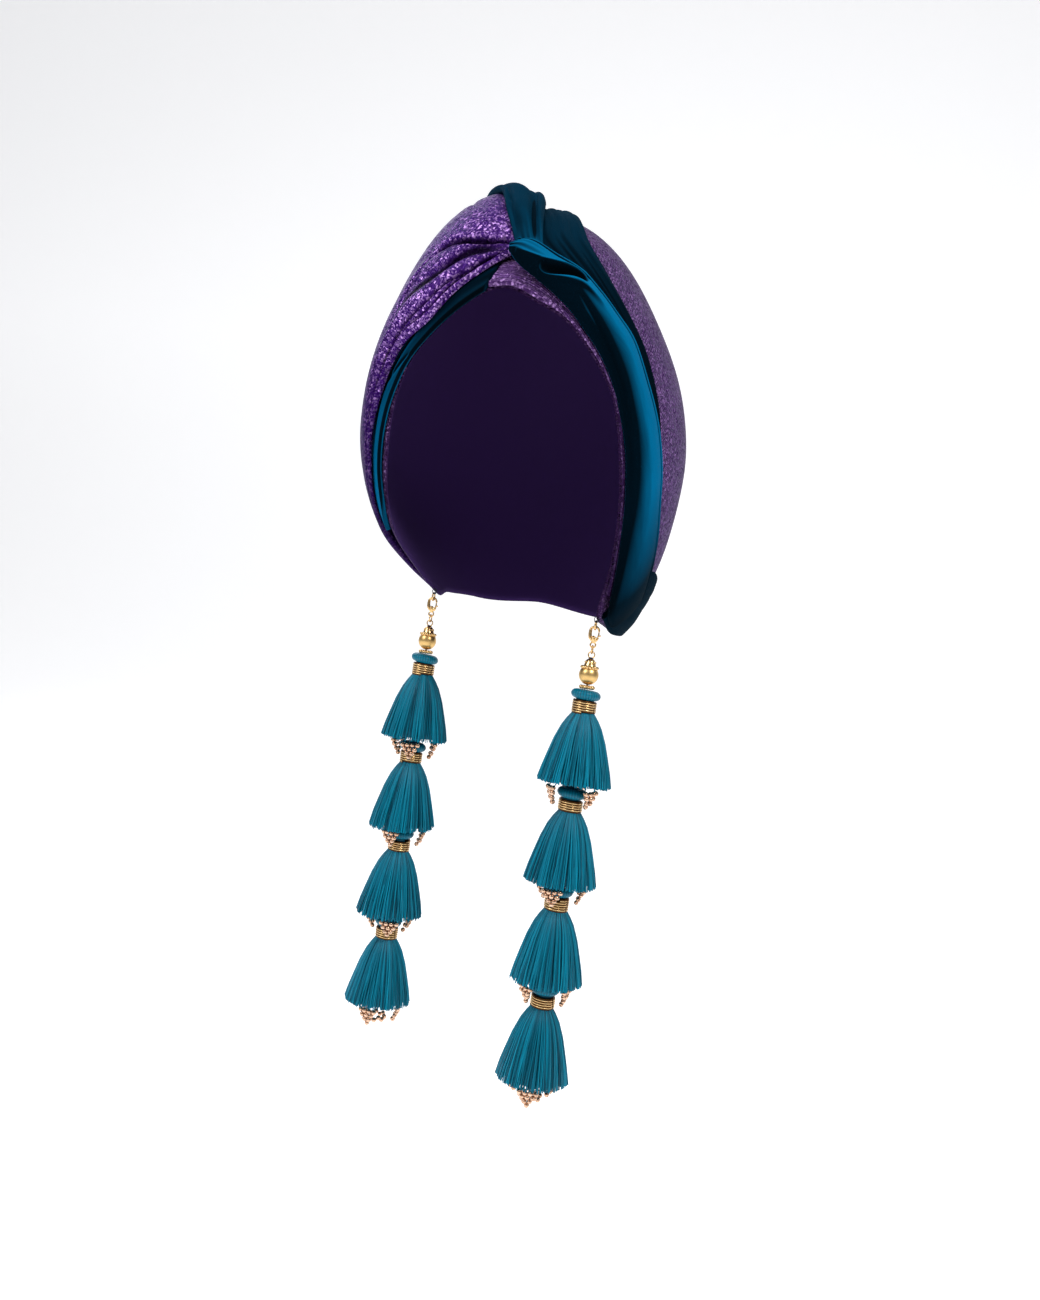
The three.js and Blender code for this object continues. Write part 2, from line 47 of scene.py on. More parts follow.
def addCamera():
    azimuth, elevation = math.radians(camera["azimuth"]), math.radians(camera["elevation"])
    roll = math.radians(camera["roll"])
    back = Vector((math.sin(azimuth) * math.cos(elevation),
                   -math.cos(azimuth) * math.cos(elevation), math.sin(elevation)))
    place = Vector(camera["target"]) + back * camera["distance"]
    side = (-back).cross(Vector((0, 0, 1))).normalized()
    up = side.cross(-back)
    right = side * math.cos(roll) + up * math.sin(roll)
    top = up * math.cos(roll) - side * math.sin(roll)
    lens = bpy.data.cameras.new("camera")
    lens.sensor_fit, lens.sensor_width = "AUTO", camera["sensor"]
    lens.lens = camera["focal"] / camera["frame"] * camera["sensor"]
    lens.clip_start, lens.clip_end = 0.01, 20
    eye = bpy.data.objects.new("camera", lens)
    turn = Matrix((right, top, back)).transposed().to_4x4()
    eye.matrix_world = Matrix.Translation(place * mm) @ turn
    bpy.context.collection.objects.link(eye)
    bpy.context.scene.camera = eye


addCamera()

# The egg that the crown follows, as in the part's source: its middle's y and z, its half axes, and
# how far its shoulders and its left side under the ear are drawn in, all in mm
egg = {"y": 12, "z": 25, "side": 84, "front": 112, "back": 103, "top": 124, "bottom": 128,
       "shoulder": 6.5, "leftTuck": 18}
# How far the crown's axis leans back, in degrees, and the hem round it as turns and rises
crownLean = 32
hem = [
    [0, 29.5], [8, 26.5], [15, 24], [21, 19.5], [27, 13.5], [31, 8], [34, 0], [37, -10], [40, -20],
    [44, -34], [50, -50], [64, -55], [82, -56.5], [100, -56], [118, -54], [148, -48], [180, -43],
    [-150, -49], [-124, -56], [-104, -61], [-84, -58.5], [-64, -49], [-48, -37], [-39.5, -27],
    [-34, -16], [-31.5, -4], [-30, 3], [-26.5, 11.5], [-20, 18], [-13, 24], [-6, 28.5],
]

# Each cloth: sections as in the part's source (upper turn, rise and lift, lower turn, rise and
# lift, fullness). folds: where each ends across the cloth, in a table along it, and its rise.
# peak: where the cloth stands highest, along it. under: how far its inner face stands off the
# egg along it, at the upper and the lower edge. roll: the radius of its two edges.
# creases: places along, shares across, depth and width in mm; a ridge has a negative depth; a
# crease is also painted darker for its depth. edgeCrease: one that keeps its distance from the
# lower
# edge: distance, depth and width in mm, painted darker in the same way.
# gather: pleats beside the knot, their count, depth and reach. paintedShadeAlong: the shade painted
# on it along it; below nothing it is painted light instead, and its creases show brighter.
cloths = {
    "lurex_tongue": {
        "look": "mauve", "rows": 130, "columns": 36, "held": "stretched",
        "sections": [
            [-3, 36, 2.9, -5.5, 28.8, 2.9, .2], [2, 36.5, 2.9, 1, 29.2, 2.9, .3],
            [8, 34.5, 2.9, 8, 26.5, 2.9, .3], [15, 30, 2.9, 15, 24, 2.9, .3],
            [22, 25, 2.9, 21, 19.5, 2.9, .2], [30, 18, 2.9, 27, 13.5, 2.9, .1],
            [37, 8, 2.9, 31.5, 6.5, 2.9, 0], [42, -5, 2.9, 35.5, -5, 2.9, 0],
            [46, -19, 2.9, 39.7, -19, 2.9, 0], [50, -33, 2.9, 43.8, -33, 2.9, 0],
            [55, -43, 2.9, 47.3, -43, 2.9, 0]],
        "folds": [([.5], .6), ([1], .6)],
        "under": ([.4], [.4]), "roll": (1.2, 1.3), "gather": (3, .2, .3),
        "paintedShadeAlong": [0, 0, .1, .3, .5, .6, .7],
        "creases": [([0, 1], [.82, .62], .4, .5)],
    },
    "velvet_hem_left": {
        "look": "velvet", "rows": 110, "columns": 36, "held": "folded",
        "sections": [
            [-4.2, 36, 2.9, -6.3, 27.6, 2.9, .1], [-15, 31, 2.9, -12.6, 22.8, 2.9, .3],
            [-23, 24, 2.9, -19.3, 17.1, 2.9, .3], [-32, 16, 2.9, -25.6, 10.9, 2.9, .2],
            [-40, 6, 2.9, -30, 2.9, 2.9, .1], [-44, -5, 2.9, -32.7, -4, 2.9, 0],
            [-46.5, -17, 2.9, -36.5, -16, 2.9, 0], [-49, -27, 2.9, -40.5, -27, 2.9, 0],
            [-58, -34, 2.9, -50, -35.5, 2.9, 0]],
        "folds": [([.5], .6), ([1], .6)],
        "under": ([.4], [.4]), "roll": (1.2, 1.3), "gather": (2, .2, .3),
        "paintedShadeAlong": [.9, .85, .6, .2, 0, 0, .1, .4],
        "creases": [([.2, .4, .7], [.35, .5, .6], .9, .8),
                    ([.35, .45, .55], [.95, .6, .3], .8, .9)],
    },
    "velvet_panel_right": {
        "look": "velvet", "rows": 140, "columns": 80, "held": "gathered",
        "sections": [
            [16, 77, 2.9, -16, 66, 2.9, .5], [20, 69, 2.9, -6, 59, 2.9, 1],
            [21, 60, 3.1, 0, 51, 2.9, 1.4], [22.5, 51, 3.2, 3, 43, 2.9, 1.4],
            [27, 44, 3.2, 11, 36, 2.9, 1.2], [32, 37.5, 3.1, 18, 32, 2.9, 1],
            [37.5, 31.5, 3, 25, 26, 2.9, .8], [43, 24.5, 2.9, 31, 19, 2.9, .6],
            [48, 14, 2.9, 38, 11, 2.9, .4], [51.5, 3.5, 2.9, 42, 1, 2.9, .3],
            [53, -8, 2.9, 44, -9, 2.9, .2]],
        "folds": [([.3, .25], 1), ([.55, .5], 1), ([.78, .75], .9), ([1], .2)],
        "under": ([.4], [.4]), "roll": (1.6, 1.2), "gather": (7, .3, .5),
        "paintedShadeAlong": [.88, .9, .9, .94, .97, .98, .98, .98],
        "creases": [([.2, .75], [.3, .42], .7, 1.0), ([.25, .8], [.62, .68], .7, 1.0)],
    },
    "velvet_ear_fold": {
        "look": "velvet", "rows": 80, "columns": 44, "held": "folded",
        "sections": [
            [58, -41, 2.9, 53, -50.5, 2.9, .2], [68, -38, 2.9, 66, -55, 2.9, .5],
            [82, -36, 3, 82, -56.3, 3, 1.2], [98, -38, 3, 100, -55.8, 3, 1],
            [113, -46, 2.8, 115, -53.5, 2.8, .2]],
        "folds": [([.5], .8), ([1], 1)],
        "under": ([.4], [.4]), "roll": (1.6, 1.4), "gather": (4, .3, .4), "paintedShadeAlong": [.95],
        "creases": [([.1, .9], [.3, .25], .5, 1.2)],
    },
    "lurex_band_left": {
        "look": "lurex", "rows": 240, "columns": 140, "held": "gathered",
        "sections": [
            [0, 42, 5.9, -1, 37.3, 5.8, .1], [-5, 50, 8, -7, 32.5, 5.8, 2.4],
            [-12, 58, 11, -13.5, 27, 5.8, 4], [-24, 66, 12.8, -20, 19.5, 5.8, 5.2],
            [-45, 73, 11, -28.6, 14.5, 5.8, 7], [-80, 75, 8, -34.5, 3, 5.8, 6.6],
            [-108, 66, 6.4, -38.3, -7, 5.8, 4], [-122, 50, 5.2, -41, -17, 5.8, 1.6],
            [-127, 30, 4.4, -48, -28, 5.8, .6], [-129, 8, 4, -61, -40, 5.6, .5],
            [-131, -14, 3.6, -80, -52, 4, .5], [-133, -34, 3.2, -106, -57, 3.2, .4]],
        "folds": [([.5, .6, .6, .57, .65, .68, .69, .7], .85),
                  ([.72, .72, .72, .77, .80, .82, .84, .85], .3),
                  ([.93, .955, .94, .95, .965, .975, .98, .98], .85), ([1], .4)],
        "under": ([3.6, 5, 5, .5, .5, .5, .5], [3.6, 3.5, 3.5, 3.5, 3.5, 1.2, .5]),
        "roll": (3.2, 2.6), "gather": (7, .5, .1), "paintedShadeAlong": [-.9, -.9, -.2, .3, .5, .65, .65, .5],
        "edgeCrease": (4.2, 1.8, 1.0),
        "creases": [([.0, .04, .1, .167, .25, .31, .345, .4],
                     [.5, .53, .6, .61, .56, .58, .67, .74], 2.6, 1.5),
                    ([.04, .11, .167, .21, .28, .34, .45],
                     [.74, .72, .70, .72, .76, .79, .83], 2.2, 4.0),
                    ([.05, .1, .17, .22, .28, .35, .5],
                     [.90, .91, .92, .89, .90, .93, .965], 1.3, .9),
                    ([.2, .3, .4, .55], [.30, .26, .25, .22], .9, 2.5),
                    ([.3, .4, .5, .7], [.68, .75, .80, .82], .7, 1.0)],
    },
    "velvet_band_right": {
        "look": "velvet", "rows": 220, "columns": 100, "held": "folded",
        "sections": [
            [-1.2, 37.4, 11, -1.4, 35.4, 10.5, .6], [4, 38.6, 12.2, 2.2, 32.2, 9.5, 2.6],
            [11, 37.2, 9.5, 9, 28.8, 6.6, 4], [18, 36, 7, 15, 25.3, 6, 5],
            [23.7, 32.4, 6.2, 20, 21, 5.8, 5.4], [29.4, 28.2, 6, 25, 16, 5.8, 5.4],
            [35.5, 23.8, 5.8, 29.5, 9.5, 5.8, 5.2], [41, 15, 5.6, 33, 2, 5.8, 5],
            [46.5, 5.5, 5.8, 36.2, -6, 5.8, 5], [51.5, -5, 5.8, 39, -16, 5.8, 5],
            [56, -15, 5, 42, -27, 5.8, 4.8], [61.5, -25, 5.2, 46, -38, 5.8, 4.2],
            [67, -34.5, 5.6, 51.5, -47.5, 5.8, 3], [72, -42, 5.8, 60, -52, 5.8, 1.2]],
        "folds": [([.15, .12], .3), ([1], .9)],
        "peak": [.5, .75, .72, .45, .42, .48, .55, .57, .58, .58, .58, .58, .5],
        "under": ([9, 5, 4, 3.6, 3.6, 3.4, 3.4, 3.2], [8.5, 4.6, 3.6, 3.6, 3.4, 3.4, 3.4, 3.4]),
        "roll": (2.2, 3.6), "gather": (4, .2, .12),
        "paintedShadeAlong": [.3, .2, 0, -.2, -.25, -.25, -.2, 0, .5, .95, .98],
        "creases": [([.13, .165, .2, .235, .27], [.8, .7, .5, .34, .24], 4.2, 2.3),
                    ([.05, .11, .14, .17, .22, .26], [.86, .75, .62, .43, .25, .16], -1.2, 1.3),
                    ([.12, .165, .21, .26, .34], [.98, .87, .73, .47, .4], -1.0, 1.5),
                    ([.25, .4, .6], [.7, .85, .9], 1.0, 1.6),
                    ([.3, .45, .7], [.88, .93, .95], .8, 1.2)],
    },
    "velvet_knot_wrap": {
        "look": "velvet", "rows": 170, "columns": 90, "held": "folded",
        "sections": [
            [-1, 39.5, 9, 7, 39, 8.6, .2], [-3, 43, 10.2, 6.3, 42.5, 8, 1],
            [-6.5, 48, 12.4, 5.3, 47.5, 8, 2.2], [-11, 54, 14.4, 4, 54, 8, 2.8],
            [-19, 60.5, 17.2, 2.3, 61, 7.8, 3.2], [-40, 66, 18, -2, 69, 7.2, 2.6],
            [-66, 70, 14.4, -16, 78, 6.4, 2], [-96, 72.5, 10.6, -60, 85, 5.2, 1.6],
            [-122, 72, 8.4, -150, 84, 3.8, 1], [-143, 67, 3.6, -152, 71, 2.9, .1]],
        "folds": [([.14], .6), ([.66], 1), ([.8], .15), ([1], 1)],
        "under": ([7, 10.4, 14, 14.5, 9.5, 5.5, 3, .5], [6.4, 6, 5.8, 5, 3, 1.6, .8, .5]),
        "roll": (3, 2.2), "gather": (5, .2, .16), "paintedShadeAlong": [.6, .86, .86, .7, .5],
        "creases": [([.02, .2, .45], [.72, .73, .74], 2.2, 1.8),
                    ([0, .2, .45], [.1, .12, .12], 1.2, 1.6)],
    },
}

# What all cloths share: how their columns crowd to the edges, how steeply a fold rises, the arch's
# and the folds' shares of the fullness, the slow unevenness and the least thickness in mm, where
# the middle lies between the faces, how thin the edge gets, the depth in mm at which a crease's
# painted shade turns black, and the darkest painted shade
every = {"crowd": .62, "steep": .7, "arch": .6, "folds": .55, "uneven": .12, "thinnest": .5,
         "middle": .42, "thinEdge": .04, "paintedBlackAt": 1.6, "darkestPaintedShade": .97}


def mix(a, b, share):
    return a + (b - a) * share


def unit(vectors):
    return vectors / np.linalg.norm(vectors, axis=-1, keepdims=True)


# The unit way out at a turn from the front and a rise from the level, in degrees
def wayOut(turn, rise):
    t, r = np.radians(turn), np.radians(rise)
    return np.stack([np.sin(t) * np.cos(r), -np.cos(t) * np.cos(r), np.sin(r)], -1)


# The point at lift off the egg: the way out times its reach to the two half ellipsoids, which is
# less at the shoulders and under the left ear
def onEgg(way, lift):
    depth = np.where(way[..., 1] < 0, egg["front"], egg["back"]) + lift
    height = np.where(way[..., 2] > 0, egg["top"], egg["bottom"]) + lift
    across, up = way[..., 0] / (egg["side"] + lift), way[..., 2] / height
    stretch = np.sqrt(across ** 2 + (way[..., 1] / depth) ** 2 + up ** 2)
    slope = (2 * across * up / stretch ** 2) ** 2
    fall = np.where(up > 0, egg["shoulder"], np.where(across < 0, egg["leftTuck"], 0))
    return way * (1 / stretch - slope * fall)[..., None] + np.array([0, egg["y"], egg["z"]])


# A smooth cubic curve through table rows at places from 0 to 1; its slope at each row is half the
# step from the row before to the row after
def alongRows(rows, place):
    rows = np.asarray(rows, float)
    spans = len(rows) - 1
    span = np.minimum((place * spans).astype(int), spans - 1)
    t = (place * spans - span)[:, None]
    start, end = rows[span], rows[span + 1]
    leaving = (end - rows[np.maximum(span - 1, 0)]) / 2
    arriving = (rows[np.minimum(span + 2, spans)] - start) / 2
    bend = 2 * (start - end) + leaving + arriving
    sweep = 3 * (end - start) - 2 * leaving - arriving
    return ((bend * t + sweep) * t + leaving) * t + start


# Nothing at both ends and one in the middle, rising steeply at the ends
def lobe(share):
    return np.maximum(np.sin(np.pi * share), 0) ** every["steep"]


# The thickness near an edge: a quarter circle over distances from nothing to one roll
def edgeRounding(distance):
    bend = 1 - (1 - np.clip(distance, 0, 1)) ** 2
    return np.sqrt(np.maximum(bend, every["thinEdge"] ** 2))


# The shade painted into a crease for its depth in mm
def paintedCreaseShade(sunk):
    return np.minimum(sunk / every["paintedBlackAt"], every["darkestPaintedShade"])


# Values spread evenly from 0 to 1 and read at places between them
def table(values, place):
    return np.interp(place, np.linspace(0, 1, max(len(values), 2))[:len(values)], values)


# The same values along evenly spaced places with their corners rounded off
def rounded(values, reach=.1):
    half = max(int(len(values) * reach / 2), 1)
    window = np.hanning(2 * half + 3)[1:-1]
    return np.convolve(np.pad(values, half, mode="edge"), window / window.sum(), "valid")


# A mesh from points in mm and lists of faces, riding on a body, in place of nodes
def addPiece(name, points, faces, body, look, nodes=(), uv=None, tags=None):
    mesh = bpy.data.meshes.new(name)
    faces = [np.asarray(part) for part in (faces if isinstance(faces, list) else [faces])]
    corners = np.concatenate([part.ravel() for part in faces])
    counts = np.concatenate([np.full(len(part), part.shape[1]) for part in faces])
    mesh.vertices.add(len(points))
    mesh.vertices.foreach_set("co", (np.asarray(points) * mm).astype(np.float32).ravel())
    mesh.loops.add(len(corners))
    mesh.loops.foreach_set("vertex_index", corners.astype(np.int32))
    mesh.polygons.add(len(counts))
    mesh.polygons.foreach_set("loop_start", (np.cumsum(counts) - counts).astype(np.int32))
    mesh.update(calc_edges=True)
    mesh.validate()
    mesh.shade_smooth()
    if uv is not None:
        layer = mesh.uv_layers.new(name="run")
        layer.data.foreach_set("uv", uv[corners].astype(np.float32).ravel())
    for tag, values in (tags or {}).items():
        layer = mesh.attributes.new(tag, "FLOAT", "POINT")
        layer.data.foreach_set("value", values.astype(np.float32))
    piece = bpy.data.objects.new(name, mesh)
    bpy.context.collection.objects.link(piece)
    mesh.materials.append(looks[look])
    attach(piece, body)
    if nodes:
        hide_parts(*nodes)
    return piece


# The faces between rows of points; wrapped joins each row's ends, looped joins last row to first
def gridFaces(rows, columns, wrapped=False, looped=False):
    i = np.arange(rows if looped else rows - 1)[:, None]
    j = np.arange(columns if wrapped else columns - 1)[None, :]
    nextRow, nextColumn = (i + 1) % rows, (j + 1) % columns
    corners = [i * columns + j, i * columns + nextColumn,
               nextRow * columns + nextColumn, nextRow * columns + j]
    return np.stack([np.broadcast_to(c, (i.size, j.size)) for c in corners], -1).reshape(-1, 4)


def joined(parts):
    points, faces, start = [], [], 0
    for partPoints, partFaces in parts:
        points.append(partPoints)
        faces.append(partFaces + start)
        start += len(partPoints)
    return np.concatenate(points), np.concatenate(faces)


# Faces turned to point outwards: on a closed skin their signed volume is above nothing
def turnOut(points, faces):
    middle = points.mean(0)
    a, b, c = (points[faces[:, n]] - middle for n in (0, 1, 2))
    return faces if np.sum(a * np.cross(b, c)) > 0 else faces[:, ::-1]


def addNode(tree, kind, links=None, **settings):
    node = tree.nodes.new(kind)
    for key, value in settings.items():
        setattr(node, key, value)
    for key, value in (links or {}).items():
        socket = node.inputs[key]
        if isinstance(value, bpy.types.NodeSocket):
            tree.links.new(value, socket)
        else:
            socket.default_value = value
    return node


def math2(tree, operation, a, b=0.0, c=0.0):
    return addNode(tree, "ShaderNodeMath", {0: a, 1: b, 2: c}, operation=operation).outputs[0]


def blendColour(tree, share, a, b):
    node = addNode(tree, "ShaderNodeMix", data_type="RGBA")
    for key, value in ((0, share), (6, a), (7, b)):
        if isinstance(value, bpy.types.NodeSocket):
            tree.links.new(value, node.inputs[key])
        else:
            node.inputs[key].default_value = value
    return node.outputs[2]


def newLook(name):
    material = bpy.data.materials.new(name)
    material.use_nodes = True
    tree = material.node_tree
    return material, tree, tree.nodes["Principled BSDF"]


def setShader(tree, shader, values):
    for key, value in values.items():
        if isinstance(value, bpy.types.NodeSocket):
            tree.links.new(value, shader.inputs[key])
        else:
            shader.inputs[key].default_value = value


def objectPlace(tree):
    return addNode(tree, "ShaderNodeTexCoord").outputs["Object"]


# An empty group of nodes: its tree, and the named sockets that it is given and gives out
def newGroup(name, given, out):
    tree = bpy.data.node_groups.new(name, "ShaderNodeTree")
    for way, sockets in (("INPUT", given), ("OUTPUT", out)):
        for label, kind in sockets.items():
            tree.interface.new_socket(label, in_out=way, socket_type="NodeSocket" + kind)
    return tree, addNode(tree, "NodeGroupInput").outputs, addNode(tree, "NodeGroupOutput").inputs


# The foil knit: cells in a metre, how far each tilts, the ribs' pitch in mm, their height in metres
# and its strength; then the colour of the shade painted in creases and at the rim, the metal's
# share, roughness, glare and tint, and how tightly the painted rim shade keeps to the silhouette
foil = {"cells": 1150, "tilt": .9, "pitch": 1.15, "height": .00022, "strength": .6,
        "paintedShadeColour": (.002, .0, .006, 1), "metal": .5, "rough": .4, "glare": .1,
        "tint": (.25, .1, .45, 1), "paintedRimPower": 3.0}


# Foil threads in a knit: cells that tilt each its own way, on ribs whose height is a sine; a power
# of each cell's random value gives painted glints, which the ribs' sine lifts along their crests
def foilKnit():
    tree, given, out = newGroup("foil knit", {"Place": "Vector", "Rib": "Float",
                                              "Rib share": "Float", "Sparkle": "Float"},
                                {"Painted glint": "Float", "Normal": "Vector"})
    cells = addNode(tree, "ShaderNodeTexVoronoi",
                    {"Vector": given["Place"], "Scale": foil["cells"]})
    turn = math2(tree, "MULTIPLY", given["Rib"], 2 * math.pi / foil["pitch"])
    wave = math2(tree, "SINE", turn)
    tilt = addNode(tree, "ShaderNodeVectorMath", {0: cells.outputs["Color"], 1: (.5, .5, .5)},
                   operation="SUBTRACT").outputs[0]
    tilt = addNode(tree, "ShaderNodeVectorMath", {0: tilt, "Scale": foil["tilt"]},
                   operation="SCALE").outputs[0]
    bump = addNode(tree, "ShaderNodeBump", {"Strength": foil["strength"],
                                            "Distance": foil["height"], "Height": wave})
    normal = addNode(tree, "ShaderNodeVectorMath", {0: bump.outputs[0], 1: tilt}, operation="ADD")
    normal = addNode(tree, "ShaderNodeVectorMath", {0: normal.outputs[0]}, operation="NORMALIZE")
    grain = addNode(tree, "ShaderNodeSeparateColor", {0: cells.outputs["Color"]}).outputs[0]
    # Painted glints: a high power of each cell's random value
    spark = math2(tree, "POWER", grain, given["Sparkle"])
    paintedGlint = math2(tree, "MULTIPLY_ADD", wave, given["Rib share"], spark)
    tree.links.new(paintedGlint, out["Painted glint"])
    tree.links.new(normal.outputs[0], out["Normal"])
    return tree


# The metals' wear: how much the spots dull them, from where, and how uneven they are in metres
wear = {"detail": 3, "dulling": (1.8, -.55), "strength": .12, "height": .0002}


# Spots of noise that dull a metal and make it slightly uneven
def metalWear():
    tree, given, out = newGroup("metal wear", {"Place": "Vector", "Scale": "Float"},
                                {"Dull": "Float", "Normal": "Vector"})
    spots = addNode(tree, "ShaderNodeTexNoise", {"Vector": given["Place"], "Scale": given["Scale"],
                                                 "Detail": wear["detail"]}).outputs[0]
    bump = addNode(tree, "ShaderNodeBump", {"Strength": wear["strength"],
                                            "Distance": wear["height"], "Height": spots})
    tree.links.new(math2(tree, "MULTIPLY_ADD", spots, *wear["dulling"]), out["Dull"])
    tree.links.new(bump.outputs[0], out["Normal"])
    return tree


foilGroup, wearGroup = foilKnit(), metalWear()


# Lurex: the foil knit's painted glints from its deep to its bright colour, darkened by the painted
# shade kept on its points and by painted shade at the rim, where the surface turns away from the
# eye
def lurexLook(name, deep, bright, sparkle, ribs, rim):
    material, tree, shader = newLook(name)
    rib = addNode(tree, "ShaderNodeAttribute", attribute_name="rib").outputs["Fac"]
    # The painted shade kept on the points
    paintedShade = addNode(tree, "ShaderNodeAttribute", attribute_name="paintedShade").outputs["Fac"]
    # Painted rim shade: darker where the surface turns away from the eye
    facing = addNode(tree, "ShaderNodeLayerWeight", {"Blend": .5}).outputs["Facing"]
    edge = math2(tree, "MULTIPLY", math2(tree, "POWER", facing, foil["paintedRimPower"]), rim)
    paintedShade = math2(tree, "MAXIMUM", paintedShade, edge)
    knit = addNode(tree, "ShaderNodeGroup", {"Place": objectPlace(tree), "Rib": rib,
                                             "Rib share": ribs, "Sparkle": sparkle},
                   node_tree=foilGroup).outputs
    share = addNode(tree, "ShaderNodeMath",
                    {0: knit["Painted glint"], 1: math2(tree, "SUBTRACT", 1.0, paintedShade)},
                    operation="MULTIPLY", use_clamp=True).outputs[0]
    colour = blendColour(tree, share, deep, bright)
    setShader(tree, shader, {
        "Base Color": blendColour(tree, paintedShade, colour, foil["paintedShadeColour"]),
        "Metallic": foil["metal"], "Roughness": foil["rough"], "Normal": knit["Normal"],
        "Specular IOR Level": foil["glare"], "Specular Tint": foil["tint"]})
    return material


# The pile: the way it leans, which also stands in for the light coming from the right and above,
# its tufts in a metre, how its streaks stretch across and along in mm, how quickly its painted
# sheen turns bright and from where, how much the streaks and the tufts add to it, its height in
# metres and its strength, and the velvet's roughness, glare and sheen
pile = {"lean": (.35, 0, .1), "tufts": 2600, "streaks": (.35, .05, 1), "turning": (1.7, -.36),
        "streaking": (1.4, .8), "tuft": .04, "relief": .4, "height": .0004, "strength": .35,
        "rough": .8, "glare": .01, "sheen": .015, "sheenRough": .25}


# Short pile that leans one way, its sheen painted into the base colour: dark where the leaning pile
# points at the eye, painted bright where it turns away, more on the side the light comes from
def velvetLook(name, deep, edge, sheen):
    material, tree, shader = newLook(name)
    run = addNode(tree, "ShaderNodeUVMap", uv_map="run").outputs[0]
    # The painted shade kept on the points dims the painted sheen
    paintedShade = addNode(tree, "ShaderNodeAttribute", attribute_name="paintedShade").outputs["Fac"]
    run = addNode(tree, "ShaderNodeMapping", {"Vector": run, "Scale": pile["streaks"]}).outputs[0]
    streak = addNode(tree, "ShaderNodeTexNoise",
                     {"Vector": run, "Scale": 1.0, "Detail": 4}).outputs[0]
    place = addNode(tree, "ShaderNodeTexCoord").outputs
    tuft = addNode(tree, "ShaderNodeTexNoise",
                   {"Vector": place["Object"], "Scale": pile["tufts"], "Detail": 1}).outputs[0]
    lean = addNode(tree, "ShaderNodeVectorMath", {0: place["Normal"], 1: pile["lean"]},
                   operation="ADD").outputs[0]
    lean = addNode(tree, "ShaderNodeVectorMath", {0: lean}, operation="NORMALIZE").outputs[0]
    # The painted sheen: brighter where the leaning normal turns away from the eye
    facing = addNode(tree, "ShaderNodeLayerWeight", {"Blend": .5, "Normal": lean}).outputs["Facing"]
    facing = addNode(tree, "ShaderNodeMath",
                     {0: facing, 1: pile["turning"][0], 2: pile["turning"][1]},
                     operation="MULTIPLY_ADD", use_clamp=True).outputs[0]
    streaked = math2(tree, "MULTIPLY_ADD", streak, *pile["streaking"])
    share = math2(tree, "MULTIPLY", facing, streaked)
    share = addNode(tree, "ShaderNodeMath", {0: tuft, 1: pile["tuft"], 2: share},
                    operation="MULTIPLY_ADD", use_clamp=True).outputs[0]
    share = math2(tree, "MULTIPLY", share, math2(tree, "SUBTRACT", 1.0, paintedShade))
    height = math2(tree, "MULTIPLY_ADD", streak, pile["relief"], tuft)
    bump = addNode(tree, "ShaderNodeBump", {"Strength": pile["strength"],
                                            "Distance": pile["height"], "Height": height})
    setShader(tree, shader, {
        "Base Color": blendColour(tree, share, deep, edge), "Roughness": pile["rough"],
        "Specular IOR Level": pile["glare"], "Normal": bump.outputs[0],
        "Sheen Weight": pile["sheen"], "Sheen Roughness": pile["sheenRough"],
        "Sheen Tint": sheen})
    return material


# Thread whose tone, kept on its points, runs from its dark to its light colour
def threadLook(name, dark, light, rough=.38):
    material, tree, shader = newLook(name)
    tone = addNode(tree, "ShaderNodeAttribute", attribute_name="tone").outputs["Fac"]
    setShader(tree, shader, {
        "Base Color": blendColour(tree, tone, dark, light), "Roughness": rough,
        "Specular IOR Level": .2, "Sheen Weight": .1, "Sheen Roughness": .3,
        "Sheen Tint": light})
    return material


# Metal that wear dulls in spots; grain is the number of spots in a metre
def metalLook(name, colour, dull, rough, grain=900):
    material, tree, shader = newLook(name)
    worn = addNode(tree, "ShaderNodeGroup", {"Place": objectPlace(tree), "Scale": grain},
                   node_tree=wearGroup).outputs
    setShader(tree, shader, {
        "Base Color": blendColour(tree, worn["Dull"], colour, dull), "Metallic": 1.0,
        "Roughness": rough, "Normal": worn["Normal"]})
    return material


looks = {
    # The bright colours of lurex and mauve are their painted glints
    "lurex": lurexLook("lurex", (.035, .004, .13, 1), (.74, .42, 1, 1), 4.4, .05, .7),
    "mauve": lurexLook("mauve", (.05, .018, .09, 1), (.46, .27, .62, 1), 4.0, .13, .5),
    "lining": threadLook("lining", (.035, .012, .09, 1), (.05, .02, .12, 1), .85),
    # The velvet's edge colour is its painted sheen
    "velvet": velvetLook("velvet", (.0, .0015, .003, 1), (.0, .12, .26, 1), (.0, .5, .85, 1)),
    "silk": threadLook("silk", (.0, .06, .1, 1), (.0, .235, .36, 1)),
    "knot": threadLook("knot", (.01, .012, .02, 1), (.03, .035, .06, 1)),
    "gold": metalLook("gold", (.83, .57, .27, 1), (.5, .3, .12, 1), .24),
    "satin": metalLook("satin", (.74, .5, .2, 1), (.6, .38, .14, 1), .36, 300),
    "bronze": metalLook("bronze", (.11, .045, .013, 1), (.05, .02, .008, 1), .38, 2200),
    "seed": metalLook("seed", (.82, .56, .4, 1), (.38, .2, .11, 1), .2, 500),
}

